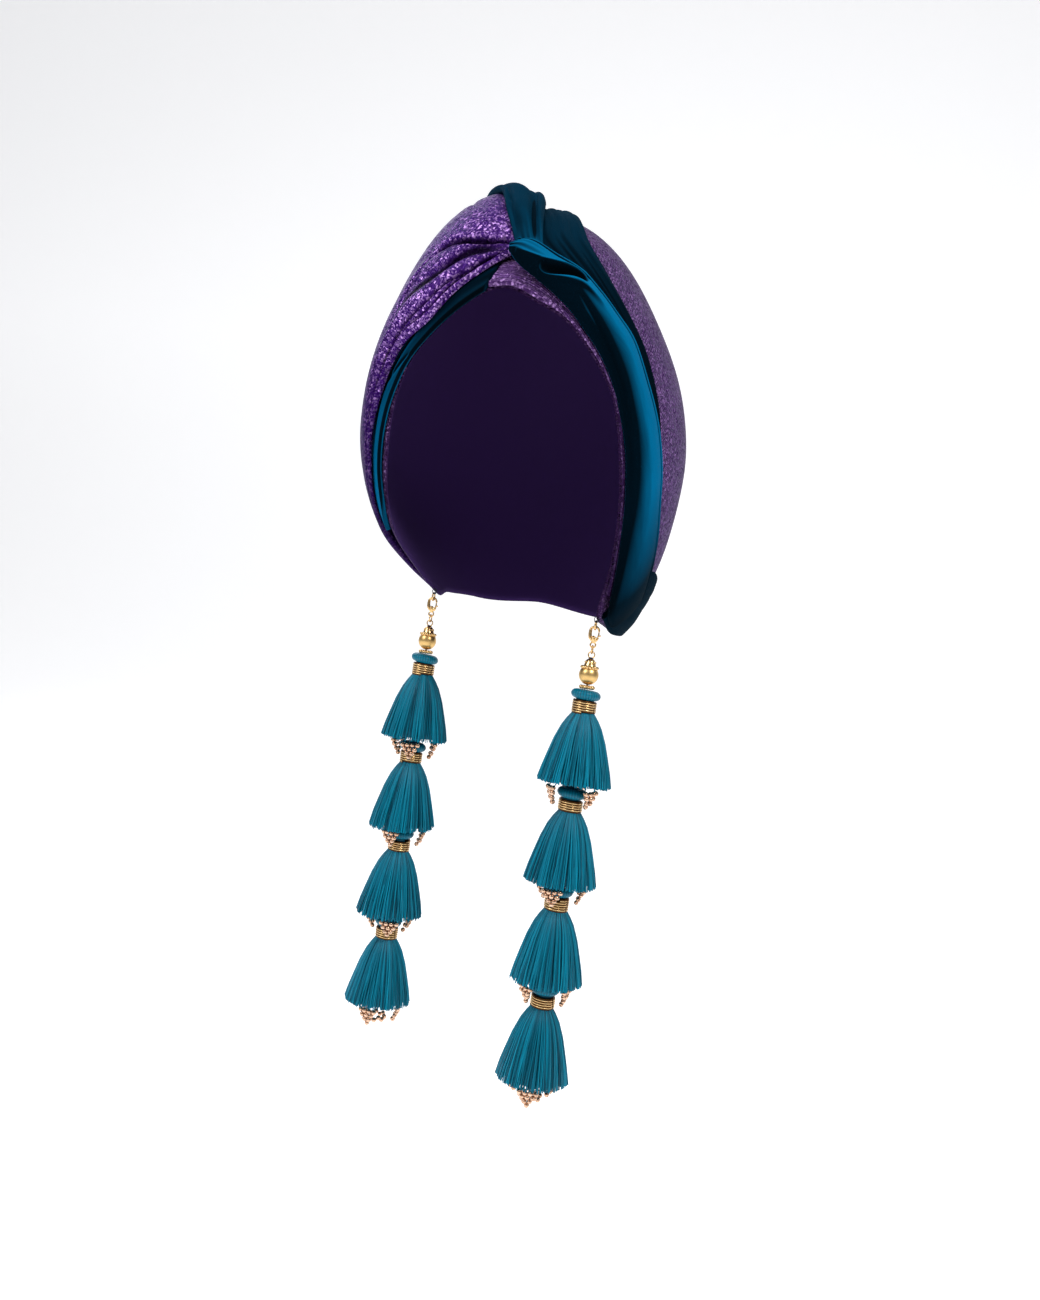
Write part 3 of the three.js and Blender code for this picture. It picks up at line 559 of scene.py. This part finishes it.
# The outer and inner faces of a cloth as grids of points, with the way along and across in mm. Each
# point lies at a lift off the egg, on the way between its section's two edges: the section's own
# lift, an arch, the folds' lobes, less the creases, with pleats beside the knot and a slow drift
def clothGrids(cloth, seed):
    rows, columns = cloth["rows"], cloth["columns"]
    place = np.linspace(0, 1, rows)
    section = alongRows(cloth["sections"], place)
    even = np.linspace(0, 1, columns)
    share = (even - every["crowd"] * np.sin(2 * np.pi * even) / (2 * np.pi))[None, :]
    upper = wayOut(section[:, 0], section[:, 1])[:, None]
    lower = wayOut(section[:, 3], section[:, 4])[:, None]
    way = unit(mix(upper, lower, share[..., None]))
    full = section[:, 6][:, None]
    base = mix(section[:, 2][:, None], section[:, 5][:, None], share)
    line = place[:, None]
    swell, start = np.zeros((rows, columns)), np.zeros((rows, 1))
    for ends, rise in cloth["folds"]:
        end = rounded(table(ends, place))[:, None]
        across = (share - start) / (end - start)
        swell += np.where((across >= 0) & (across <= 1), rise * lobe(np.clip(across, 0, 1)), 0)
        start = end
    flat = onEgg(way, base)
    acrossSteps = np.linalg.norm(np.diff(flat, axis=1), axis=-1)
    fromUpper = np.concatenate([np.zeros((rows, 1)), np.cumsum(acrossSteps, 1)], 1)
    width = fromUpper[:, -1:]
    alongSteps = np.linalg.norm(np.diff(flat, axis=0), axis=-1)
    run = np.concatenate([np.zeros((1, columns)), np.cumsum(alongSteps, 0)], 0)
    skew = np.log(.5) / np.log(table(cloth.get("peak", [.5]), place))[:, None]
    top = base + full * (every["arch"] * lobe(share ** skew) + every["folds"] * swell)
    # The shade painted on the cloth along its length; below nothing it is painted light instead
    paintedShade = np.repeat(table(cloth.get("paintedShadeAlong", [0]), place)[:, None], columns, 1)
    # A crease sinks the surface and is painted darker for its depth
    for places, shares, depth, wide in cloth["creases"]:
        off = (share - rounded(np.interp(place, places, shares))[:, None]) * width / wide
        fade = np.sin(np.pi * np.clip((line - places[0]) / (places[-1] - places[0]), 0, 1))
        sunk = depth * np.sqrt(np.abs(fade)) * np.exp(-off ** 2)
        top -= sunk
        paintedShade = np.maximum(paintedShade, paintedCreaseShade(sunk))
    count, depth, reach = cloth["gather"]
    pleats = np.cos(2 * np.pi * count * share + 1.3 * np.sin(7 * line + seed))
    top += depth * pleats * np.exp(-line / reach)
    # The edge crease also sinks the surface and is painted darker for its depth
    if "edgeCrease" in cloth:
        inside, depth, wide = cloth["edgeCrease"]
        sunk = depth * np.exp(-((width - fromUpper - inside) / wide) ** 2)
        top -= sunk
        paintedShade = np.maximum(paintedShade, paintedCreaseShade(sunk))
    drift = sum(np.sin(run / (23 + 9 * n) + fromUpper / (11 + 5 * n) * (-1) ** n + seed * (n + 1))
                for n in range(4))
    top += every["uneven"] * drift
    upperUnder, lowerUnder = (table(values, place)[:, None] for values in cloth["under"])
    under = mix(upperUnder, lowerUnder, share)
    top = np.maximum(top, under + every["thinnest"])
    upperRoll, lowerRoll = cloth["roll"]
    rounding = edgeRounding(np.minimum(fromUpper / upperRoll, (width - fromUpper) / lowerRoll))
    middle = mix(under, top, every["middle"])
    outer = onEgg(way, mix(middle, top, rounding))
    inner = onEgg(way, mix(middle, under, rounding))
    return outer, inner, run, fromUpper, paintedShade


# The closed skin round two grids: rows run round the outer face and back along the inner one
def addCloth(name, cloth, seed):
    outer, inner, run, fromUpper, paintedShade = clothGrids(cloth, seed)
    rows, columns = outer.shape[:2]
    loop = np.concatenate([outer, inner[:, ::-1]], 1)
    side = gridFaces(rows, 2 * columns, wrapped=True)
    j = np.arange(columns - 1)
    cap = np.stack([j, j + 1, 2 * columns - 2 - j, 2 * columns - 1 - j], -1)
    faces = np.concatenate([side, cap[:, ::-1], cap + (rows - 1) * 2 * columns])
    points = loop.reshape(-1, 3)
    faces = turnOut(points, faces)
    uv = np.stack([np.concatenate([fromUpper, fromUpper[:, ::-1]], 1),
                   np.concatenate([run, run[:, ::-1]], 1)], -1).reshape(-1, 2)
    # The painted shade rides on the points of both faces as an attribute
    piece = addPiece(name + "_cloth", points, faces, "turban", cloth["look"],
                     [name], uv, {"rib": uv[:, 0],
                                  "paintedShade": np.concatenate([paintedShade, paintedShade[:, ::-1]], 1).ravel()})
    area = clothArea(outer)
    print("cloth", name, "area", round(area, 5), "run", round(run.mean(1)[-1] * mm, 4),
          "across", round(fromUpper[:, -1].mean() * mm, 4))
    return piece


# The area of a grid of points in square metres: half the cross product of each face's diagonals
def clothArea(grid):
    a, b, c, d = grid[:-1, :-1], grid[:-1, 1:], grid[1:, 1:], grid[1:, :-1]
    return (np.linalg.norm(np.cross(c - a, d - b), axis=-1).sum() / 2) * mm * mm


for n, (name, cloth) in enumerate(cloths.items()):
    cloth["piece"] = addCloth(name, cloth, n + 1.0)
print("cloths made")

# The crown's rings and spokes, how its rings crowd to the hem, its wall and rolled edge in mm, its
# ripple's height and the most of it in mm, its ribs' slant over y and z, the shade painted near the
# hem and its reach in mm, and how many steps the hem has between two of its points
crown = {"rings": 100, "spokes": 300, "crowd": .3, "wall": 2.0, "roll": 1.3, "ripple": .12,
         "rippleMost": .25, "ribSlant": (-.66, .75), "paintedHemShade": .75, "hemReach": 3, "hemSteps": 40}


# The hem as ways out, evenly spaced round the leaning axis: the smooth curve through its points,
# taken where each spoke's bearing passes it
def crownEnds():
    lean = math.radians(crownLean)
    axis = np.array([0, math.sin(lean), math.cos(lean)])
    side = np.array([1.0, 0, 0])
    front = np.cross(side, axis)
    ways = wayOut(*np.array(hem, float).T)
    looped = np.concatenate([ways[-1:], ways, ways[:2]])
    steps = np.arange(len(ways) * crown["hemSteps"]) / crown["hemSteps"]
    line = unit(alongRows(looped, (1 + steps) / (len(looped) - 1)))
    bearing = np.arange(crown["spokes"]) / crown["spokes"] * 2 * np.pi
    aim = side * np.sin(bearing)[:, None] - front * np.cos(bearing)[:, None]
    flat = unit(line - (line @ axis)[:, None] * axis)
    return axis, line[np.argmax(aim @ flat.T, axis=1)]


# The crown: rings of points from the axis to the hem, on the egg, as an outer face with a slight
# ripple and an inner one at the wall's thickness, joined by a rolled hem
def addCrown():
    axis, ends = crownEnds()
    share = np.linspace(0, 1, crown["rings"] + 1)[1:]
    share = share - crown["crowd"] * np.sin(np.pi * share) * share / np.pi
    share = share / share[-1]
    angle = np.arccos(np.clip(ends @ axis, -1, 1))
    swing = unit(ends - (ends @ axis)[:, None] * axis)
    ways = (axis * np.cos(angle * share[:, None])[..., None]
            + swing * np.sin(angle * share[:, None])[..., None])
    flat = onEgg(ways, np.zeros(ways.shape[:2]))
    edge = np.linalg.norm(np.diff(flat, axis=0), axis=-1)
    toHem = np.concatenate([np.cumsum(edge[::-1], 0)[::-1], np.zeros((1, len(ends)))], 0)
    rounding = edgeRounding(toHem / crown["roll"])
    x, y, z = np.moveaxis(flat, -1, 0)
    waves = np.sin((z - y * .6) / 9) + np.sin((z + y * .5 + x * .3) / 13 + 1)
    ripple = np.minimum(crown["ripple"] * waves, crown["rippleMost"])
    half = crown["wall"] / 2
    outer = onEgg(ways, -half + (half + ripple) * rounding)
    inner = onEgg(ways, -half - half * rounding)
    rings, spokes = outer.shape[:2]
    grid = np.concatenate([outer, inner[::-1]], 0)
    points = np.concatenate([grid.reshape(-1, 3), onEgg(axis[None], np.array([0.1])),
                             onEgg(axis[None], np.array([-crown["wall"]]))])
    quads = gridFaces(2 * rings, spokes, wrapped=True)
    j = np.arange(spokes)
    after = (j + 1) % spokes
    last = (2 * rings - 1) * spokes
    tops = np.stack([np.full(spokes, len(points) - 2), after, j], -1)
    bottoms = np.stack([np.full(spokes, len(points) - 1), last + j, last + after], -1)
    if np.sum(outer[0, 0] * np.cross(outer[0, 1], outer[1, 1])) < 0:
        quads, tops, bottoms = quads[:, ::-1], tops[:, ::-1], bottoms[:, ::-1]
    ribs = points[:, 1:] @ np.array(crown["ribSlant"])
    # Painted shade that darkens the crown near its rolled hem
    hemPaintedShade = crown["paintedHemShade"] * np.exp(-(toHem / crown["hemReach"]) ** 2)
    hemPaintedShade = np.concatenate([hemPaintedShade.ravel(), hemPaintedShade[::-1].ravel(), [0, 0]])
    piece = addPiece("crown_cap_cloth", points, [quads, tops, bottoms], "turban", "mauve",
                     ["crown_cap"], points[:, 1:], {"rib": ribs, "paintedShade": hemPaintedShade})
    piece.data.materials.append(looks["lining"])
    within = np.arange(len(piece.data.polygons)) >= rings * spokes
    piece.data.polygons.foreach_set("material_index", within.astype(np.int32))
    print("crown area", round(clothArea(outer), 5))
    return piece


crownPiece = addCrown()
print("crown made")

# A profile of radius and height turned round Z; its ends join where it is closed
def lathe(profile, sides, closed=True):
    profile = np.asarray(profile, float)
    angle = np.arange(sides) / sides * 2 * np.pi
    points = np.stack([profile[:, :1] * np.cos(angle), profile[:, :1] * np.sin(angle),
                       np.broadcast_to(profile[:, 1:], (len(profile), sides))], -1)
    faces = gridFaces(len(profile), sides, wrapped=True, looped=closed)
    points = points.reshape(-1, 3)
    return points, turnOut(points, faces)


# Tubes along paths (count, steps, 3), their radius a number or one for each step
def tubes(paths, radius, sides=5, looped=False):
    paths = np.asarray(paths, float)
    count, steps = paths.shape[:2]
    if looped:
        heading = np.roll(paths, -1, 1) - np.roll(paths, 1, 1)
    else:
        heading = np.gradient(paths, axis=1)
    heading = unit(heading)
    guide = np.where(np.abs(heading[..., 1:2]) < .9, np.array([0, 1.0, 0]), np.array([1.0, 0, 0]))
    first = unit(np.cross(heading, guide))
    second = np.cross(heading, first)
    turn = np.arange(sides) / sides * 2 * np.pi
    wide = np.broadcast_to(np.asarray(radius, float), (count, steps))[..., None, None]
    ring = first[:, :, None] * np.cos(turn)[:, None] + second[:, :, None] * np.sin(turn)[:, None]
    points = (paths[:, :, None] + wide * ring).reshape(-1, 3)
    one = gridFaces(steps, sides, wrapped=True, looped=looped)
    faces = (one[None] + (np.arange(count) * steps * sides)[:, None, None]).reshape(-1, 4)
    return points, faces[:, ::-1]


# A circle round the axis that is numbered 0, 1 or 2
def ringPath(radius, axis, steps=48):
    angle = np.arange(steps) / steps * 2 * np.pi
    flat = np.stack([np.cos(angle) * radius, np.sin(angle) * radius], -1)
    points = np.zeros((steps, 3))
    points[:, [n for n in range(3) if n != axis]] = flat
    return points[None]


# A ring of round wire: a tube along a circle
def wireRing(radius, wire, axis, height):
    points, faces = tubes(ringPath(radius, axis), wire, 12, looped=True)
    return points + np.array([0, 0, height]), faces


# Drilled beads at centres, each turned to its own axis
def beads(centres, axes, radius, sides=12, rows=7, hole=.22):
    angle = np.linspace(math.asin(hole), math.pi - math.asin(hole), rows)
    profile = np.stack([np.sin(angle), np.cos(angle)], -1)
    profile = np.concatenate([profile, [[hole * .9, -.6], [hole * .9, .6]]])
    points, faces = lathe(profile, sides)
    axes = unit(np.asarray(axes, float))
    guide = np.where(np.abs(axes[:, 2:3]) < .9, np.array([0, 0, 1.0]), np.array([1.0, 0, 0]))
    side = unit(np.cross(axes, guide))
    other = np.cross(axes, side)
    basis = np.stack([side, other, axes], 1)
    scale = np.broadcast_to(np.asarray(radius, float), (len(axes),))[:, None, None]
    placed = (points @ basis) * scale + np.asarray(centres, float)[:, None]
    many = (faces[None] + (np.arange(len(axes)) * len(points))[:, None, None]).reshape(-1, 4)
    return placed.reshape(-1, 3), many


# A smooth path of even steps through its corners
def smoothPath(corners, steps):
    return alongRows(corners, np.linspace(0, 1, steps))


# Where each drop hangs from the hem, in mm, and the heights of its links below that
anchors = {"right": (53.2266, -28.3170, -60.8382), "left": (-45.5176, 15.1221, -55.8815)}
heights = {"hemRing": -3.25, "hook": -6.2, "eye": -13.2, "jump": -15.6, "loop": -18.3,
           "capTop": -20.55, "capRim": -25.3, "bead": -28.5, "spacer": -34.75, "head": -36.0}
tasselPitch = 50.0
tassels = 4
# The tassel's skirt: its radius at each depth below the top, its longest thread, and how many
# threads it has and how thick they are, in mm
skirt = {"depth": (10.8, 11.8, 15, 19, 26, 34, 41, 47.8),
         "radius": (4.6, 5.3, 7.6, 9.9, 12.6, 14.8, 16.6, 17.9),
         "longest": 50, "strands": 520, "wire": .27}
# The threads wound on a tassel's neck: radius, wire, top, bottom and turns, in mm
windings = {"thread": (5.45, .68, -5.7, -11.9, 5.2), "gold": (5.95, .4, -6.3, -11.3, 4.2)}


# A tube along a smooth path, with radii spread over it at the places given
def taperedTube(corners, steps, places, radii, sides):
    path = smoothPath(np.array(corners, float), steps)
    wide = np.interp(np.linspace(0, 1, steps), places, radii)
    return tubes(path[None], wide[None], sides)


# A lobster clasp: tubes for its hook, jaw and block, the ring of its eye, and a screw across it
def claspForm():
    bowRadius = 2.18
    arc = np.linspace(math.pi, 0, 13)
    bow = np.stack([bowRadius * np.cos(arc), bowRadius * np.sin(arc)], -1)
    corners = np.concatenate([[[.1, -5.6], [-.75, -4.7], [-1.75, -3.5], [-2.15, -2.0]], bow,
                              [[2.12, -.25]]])
    hook = taperedTube(np.stack([corners[:, 0], corners[:, 0] * 0, corners[:, 1]], -1), 60,
                       [0, .12, .3, .55, .8, .97, 1], [.5, 1.0, .78, .6, .6, .5, .3], 14)
    jaw = taperedTube([[.1, 0, -5.6], [.9, 0, -4.6], [1.75, 0, -3.6], [2.1, 0, -3.15]], 20,
                      [0, .4, .9, 1], [.5, .95, .62, .35], 14)
    block = taperedTube([[.1, 0, -5.8], [0, 0, -4.6], [-.2, 0, -3.5], [-.8, 0, -2.6]], 16,
                        [0, .4, .75, 1], [.5, 1.05, 1.15, .5], 14)
    eye = wireRing(1.35, .42, 1, heights["eye"] - heights["hook"])
    across = [[1.9, y, -3.0] for y in (-.95, -.9, .9, .95)]
    screw = tubes(np.array([across]), np.array([[.05, .38, .38, .05]]), 12)
    return joined([hook, jaw, block, eye, screw])


# The clasp's lever: a bar that closes the hook, with a thumb piece
def leverForm():
    bar = taperedTube([[1.98, 0, -2.75], [2.18, 0, -1.9], [2.2, 0, -1.0], [2.1, 0, -.3]], 24,
                      [0, .1, .8, 1], [.2, .42, .38, .2], 12)
    thumb = taperedTube([[2.2, 0, -2.3], [2.9, 0, -2.25], [3.3, 0, -1.8]], 12,
                        [0, .8, 1], [.3, .42, .1], 12)
    return joined([bar, thumb])


# Upright beads set evenly round a ring at a height
def beadRing(count, radius, height, size, sides, rows):
    angle = np.arange(count) / count * 2 * np.pi
    centres = np.stack([radius * np.cos(angle), radius * np.sin(angle),
                        np.full(count, height)], -1)
    upright = np.stack([angle * 0, angle * 0, angle * 0 + 1], -1)
    return beads(centres, upright, size, sides, rows)


# A cone over a cup whose rim is a ring of granules
def capForm():
    top, rim = heights["capTop"], heights["capRim"]
    shell = lathe([[.75, top + .1], [1.7, top], [2.3, top - .7], [2.75, top - 1.8],
                   [3.0, top - 2.8], [3.3, rim + 1.1], [3.9, rim + .7], [4.0, rim + .3],
                   [3.6, rim], [3.1, rim + .7], [2.5, rim + 1.4], [.8, top - 1.6]], 48)
    crowd = beadRing(18, 3.95, rim + .55, .85, 10, 6)
    beading = beadRing(12, 2.6, top - 1.5, .5, 8, 5)
    return joined([shell, crowd, beading])


# A drilled drum with granules round it
def spacerForm():
    middle = heights["spacer"]
    drum = lathe([[1.0, middle + .9], [2.9, middle + .75], [3.25, middle], [2.9, middle - .75],
                  [1.0, middle - .9]], 40)
    return joined([drum, beadRing(14, 3.15, middle, 1.0, 10, 6)])


# A drilled ball
def goldBeadForm():
    angle = np.linspace(.19, math.pi - .19, 32)
    profile = np.stack([5 * np.sin(angle), 5 * np.cos(angle) + heights["bead"]], -1)
    bore = [[.95, heights["bead"] - 4.9], [.95, heights["bead"] + 4.9]]
    return lathe(np.concatenate([profile, bore]), 64)


# The head of a tassel: a roll of thread laid over and over, slightly tipped
def headForm(draw):
    angle = np.linspace(-.5 * math.pi, 1.5 * math.pi, 24, endpoint=False)
    profile = np.stack([4.6 + 2.9 * np.cos(angle), -2.55 + 2.45 * np.sin(angle)], -1)
    points, faces = lathe(profile, 96)
    turn = np.arctan2(points[:, 1], points[:, 0])
    points[:, :2] *= (1 + .012 * np.cos(32 * turn))[:, None]
    core = lathe([[.4, -.9], [3.4, -1.1], [4.7, -4.6], [4.8, -11.9], [.4, -11.9]], 40)
    lean = draw.normal(0, .045, 2)
    points[:, 2] += points[:, 0] * lean[0] + points[:, 1] * lean[1]
    tone = .3 + .3 * np.sin(32 * turn) + draw.random(len(turn)) * .15
    whole = joined([(points, faces), core])
    return whole, np.concatenate([tone, np.full(len(core[0]), .05)])


# A tube along a helix from its top to its bottom
def coilForm(radius, wire, top, bottom, turns, start, sides=8):
    steps = int(turns * 40)
    share = np.linspace(0, 1, steps)
    angle = share * turns * 2 * np.pi + start
    path = np.stack([radius * np.cos(angle), radius * np.sin(angle), mix(top, bottom, share)], -1)
    return tubes(path[None], wire, sides)


# Hanging threads in three layers, drawn a little into locks, cut uneven along a slanted hem
def skirtForm(draw):
    count, longest = skirt["strands"], skirt["longest"]
    depth = np.array(skirt["depth"])
    angle = np.sort(draw.random(count)) * 2 * np.pi
    layer = draw.choice([1, .94, .86, .72], count, p=[.46, .27, .17, .1])
    tilt = draw.normal(0, 1, 2) * .02
    slant = tilt[0] * np.cos(angle) + tilt[1] * np.sin(angle)
    cut = draw.normal(0, .35, count) + longest * slant * .5
    share = depth[None] / depth[-1]
    lock = .055 * np.sin(7 * angle + draw.random() * 6)[:, None] * share
    sway = (draw.normal(0, .05, count)[:, None]) * share ** 2
    radius = np.array(skirt["radius"])[None] * mix(1, layer[:, None], share) * (
        1 + draw.normal(0, .018, count)[:, None] * share)
    z = -np.minimum(depth[None] * (1 + cut[:, None] / longest * (share > .9)), longest)
    turn = angle[:, None] + lock + sway
    paths = np.stack([radius * np.cos(turn), radius * np.sin(turn),
                      np.broadcast_to(z, turn.shape)], -1)
    wide = skirt["wire"] * (1 + draw.normal(0, .12, (count, 1)))
    strands = tubes(paths, np.broadcast_to(wide, turn.shape), 4)
    tone = np.repeat(np.clip(draw.normal(.5, .3, count), 0, 1), len(depth) * 4)
    fade = np.tile(np.repeat(mix(.85, 1.1, depth / longest), 4), count)
    inner = np.array(skirt["radius"]) * np.interp(depth, [10, 20, longest], [.98, .93, .84])
    low = -depth
    low[-1] += 1.2
    lining = lathe(np.stack([np.concatenate([inner, [14.2, 3.5, 1.0]]),
                             np.concatenate([low, [-46.2, -19, -16.5]])], -1), 84, closed=False)
    ridge = np.arctan2(lining[0][:, 1], lining[0][:, 0])
    lining[0][:, :2] *= (1 + .02 * np.sin(42 * ridge))[:, None]
    return joined([strands, lining]), np.concatenate([tone * fade, .12 + .1 * np.sin(42 * ridge)])


# The bead nets of a tassel: their bearings and each tassel's own turn in degrees, and each row's
# number of beads, its radius and its height; the beads' size, its spread and their pitch; and the
# second ring of beads under the last tassel, all in mm
netBearings = (-30, 90, 210)
netSpins = {"right": (0, 170, 15, 186), "left": (180, 172, 195, 165)}
netRows = {"beads": (4, 3, 2, 1), "radius": (12.6, 12.0, 11.1, 10.0),
           "height": (-50.8, -53.2, -55.6, -57.8)}
netBead = {"size": 1.38, "spread": .06, "pitch": 2.78}
lastRing = {"beads": 14, "radius": 5.2, "height": -56.4, "step": 1.3}


# Nets of seed beads that hang to a point, each on two threads from inside the skirt
def collarForm(draw, spin, last):
    centres, axes, threads = [], [], []
    for bearing in netBearings:
        middle = math.radians(bearing + spin + draw.normal(0, 5))
        for count, radius, height in zip(netRows["beads"], netRows["radius"], netRows["height"]):
            for n in range(count):
                turn = middle + (n - (count - 1) / 2) * netBead["pitch"] / radius
                out = np.array([math.cos(turn), math.sin(turn), 0])
                place = out * (radius + draw.normal(0, .2))
                place = place + np.array([0, 0, height + draw.normal(0, .15)])
                centres.append(place)
                axes.append(np.array([-math.sin(turn), math.cos(turn), draw.normal(0, .3)]))
                if count == 4 and n in (0, 3):
                    threads.append(smoothPath(np.array([
                        out * 1.2 + [0, 0, -17], out * 4 + [0, 0, -32],
                        out * 8.8 + [0, 0, -44], place]), 12))
    if last:
        ring = lastRing["radius"]
        for n in range(lastRing["beads"]):
            turn = n / lastRing["beads"] * 2 * math.pi
            height = lastRing["height"] - (n % 2) * lastRing["step"]
            centres.append(np.array([ring * math.cos(turn), ring * math.sin(turn), height]))
            axes.append(np.array([-math.sin(turn), math.cos(turn), 0]))
    sizes = draw.normal(netBead["size"], netBead["spread"], len(centres))
    return beads(np.array(centres), np.array(axes), sizes), tubes(np.array(threads), .3)


# The thread that a tassel hangs by: three strands twisted as helices, up into the tassel above
def stemForm():
    z = np.linspace(tasselPitch - 16.5, -1.0, 60)
    strands = []
    for start in (0, 2.09, 4.19):
        angle = z * 1.6 + start
        strands.append(np.stack([.42 * np.cos(angle), .42 * np.sin(angle), z], -1))
    return tubes(np.array(strands), .46, 6)


def shifted(form, offset):
    points, faces = form
    return points + np.asarray(offset), faces


# One drop from its ring on the hem down to its last tassel; only the last one has the second ring
# of beads
def addDrop(side, seed):
    draw = np.random.default_rng(seed)
    anchor = np.array(anchors[side])
    clasp, lever, body = side + "_clasp", side + "_lever", side + "_drop"

    def put(name, form, rider, look, nodes=(), height=0.0, tone=None):
        points, faces = shifted(form, anchor + [0, 0, height])
        tags = {"tone": tone} if tone is not None else None
        return addPiece(side + "_" + name, points, faces, rider, look, nodes, None, tags)

    put("hem_ring_wire", wireRing(2.2, .45, 0, heights["hemRing"]), "turban", "gold",
        [side + "_hem_ring"])
    stitchPaths = []
    for n in range(4):
        ring = ringPath(1.25 + .08 * n, 1, 30)[0] * np.array([.8, 1, 1.1])
        ring[:, 1] += (n - 1.5) * .34
        ring[:, 2] -= .25
        stitchPaths.append(ring)
    stitches = tubes(np.array(stitchPaths), .16, 6, looped=True)
    put("stitches", stitches, "turban", "knot", tone=np.full(len(stitches[0]), .6))
    put("clasp_hook", claspForm(), clasp, "gold", [side + "_clasp_body"], heights["hook"])
    put("clasp_trigger", leverForm(), lever, "gold", [side + "_clasp_lever"],
        heights["hook"])
    put("link_ring", wireRing(2.1, .35, 0, heights["jump"]), body, "gold",
        [side + "_jump_ring"])
    loop = wireRing(1.6, .35, 1, heights["loop"])
    shaft = tubes(np.array([[[0, 0, -19.8], [0, 0, -28], [0, 0, -35.7]]]), .55, 10)
    put("pin_wire", joined([loop, shaft]), body, "gold", [side + "_bead_pin"])
    knot = joined([coilForm(.85, .32, -19.75, -20.45, 2.6, 0, 7),
                   coilForm(1.0, .3, -20.4, -19.8, 1.5, 1, 7)])
    put("thread_knot", knot, body, "knot", tone=draw.random(len(knot[0])))
    put("cap", capForm(), body, "gold", [side + "_bead_cap"])
    put("satin_bead", goldBeadForm(), body, "satin", [side + "_gold_bead"])
    put("granule_ring", spacerForm(), body, "gold", [side + "_spacer"])
    for k in range(tassels):
        n = str(k + 1)
        high = heights["head"] - k * tasselPitch
        head, headTone = headForm(draw)
        threads, threadTone = skirtForm(draw)
        parts, tones = [head, threads], [headTone, threadTone]
        if k > 0:
            parts.append(stemForm())
            tones.append(np.full(len(parts[-1][0]), .35))
        put("threads_" + n, joined(parts), body, "silk", [side + "_tassel_" + n], high,
            np.concatenate(tones))
        start = draw.random() * 6
        put("wound_thread_" + n, coilForm(*windings["thread"], start), body, "bronze",
            [side + "_gold_band_" + n], high)
        put("wound_gold_" + n, coilForm(*windings["gold"], start), body, "gold", (), high)
        crowd, hangers = collarForm(draw, netSpins[side][k], k == tassels - 1)
        put("seed_beads_" + n, crowd, body, "seed", [side + "_bead_collar_" + n], high)
        put("bead_threads_" + n, hangers, body, "silk", (), high,
            np.full(len(hangers[0]), .2))
    print(side, "drop made")


addDrop("right", 11)
addDrop("left", 23)

# The floor lies well below the drops, in metres
floorHeight = -.42


def addFloor():
    z = floorHeight
    across = np.linspace(-4, 4, 3)
    bend = np.linspace(0, math.pi / 2, 12)
    depth = np.concatenate([[-3, 1.2], 1.2 + 1.2 * np.sin(bend[1:]), [2.4]])
    rise = np.concatenate([[z, z], z + 1.2 - 1.2 * np.cos(bend[1:]), [z + 5]])
    points = np.stack([np.broadcast_to(across, (len(depth), 3)),
                       np.broadcast_to(depth[:, None], (len(depth), 3)),
                       np.broadcast_to(rise[:, None], (len(depth), 3))], -1).reshape(-1, 3)
    faces = gridFaces(len(depth), 3)
    mesh = bpy.data.meshes.new("floor")
    mesh.from_pydata(points.tolist(), [], faces.tolist())
    mesh.shade_smooth()
    material, tree, shader = newLook("floor")
    setShader(tree, shader, {"Base Color": (.86, .86, .87, 1), "Roughness": .9,
                             "Specular IOR Level": .1, "Emission Color": (1, 1, 1, 1),
                             "Emission Strength": .42})
    mesh.materials.append(material)
    floor = bpy.data.objects.new("floor", mesh)
    bpy.context.collection.objects.link(floor)


# name, place and aim in metres, size, watts, colour
lamps = [
    ("key", (.9, -.85, 1.1), (0, 0, .02), .5, 17, (1, .98, .95)),
    ("top", (-.35, -.25, 1.4), (0, 0, .05), .6, 9, (1, 1, 1)),
    ("fill", (-1.0, -.95, .95), (0, 0, 0), .9, 13, (.96, .97, 1)),
    ("rear", (-.9, 1.0, .9), (0, 0, 0), 1.0, 5, (1, 1, 1)),
]


def addLamps():
    for name, place, aim, size, watts, colour in lamps:
        lamp = bpy.data.lights.new(name, "AREA")
        lamp.shape, lamp.size, lamp.energy, lamp.color = "DISK", size, watts, colour
        holder = bpy.data.objects.new(name, lamp)
        holder.location = place
        holder.rotation_euler = (Vector(aim) - Vector(place)).to_track_quat("-Z", "Y").to_euler()
        bpy.context.collection.objects.link(holder)
    world = bpy.data.worlds.new("studio")
    world.use_nodes = True
    world.node_tree.nodes["Background"].inputs[0].default_value = (.93, .95, 1, 1)
    world.node_tree.nodes["Background"].inputs[1].default_value = .3
    bpy.context.scene.world = world


addFloor()
addLamps()
bpy.context.scene.view_settings.view_transform = "Standard"
print("floor and lamps made")
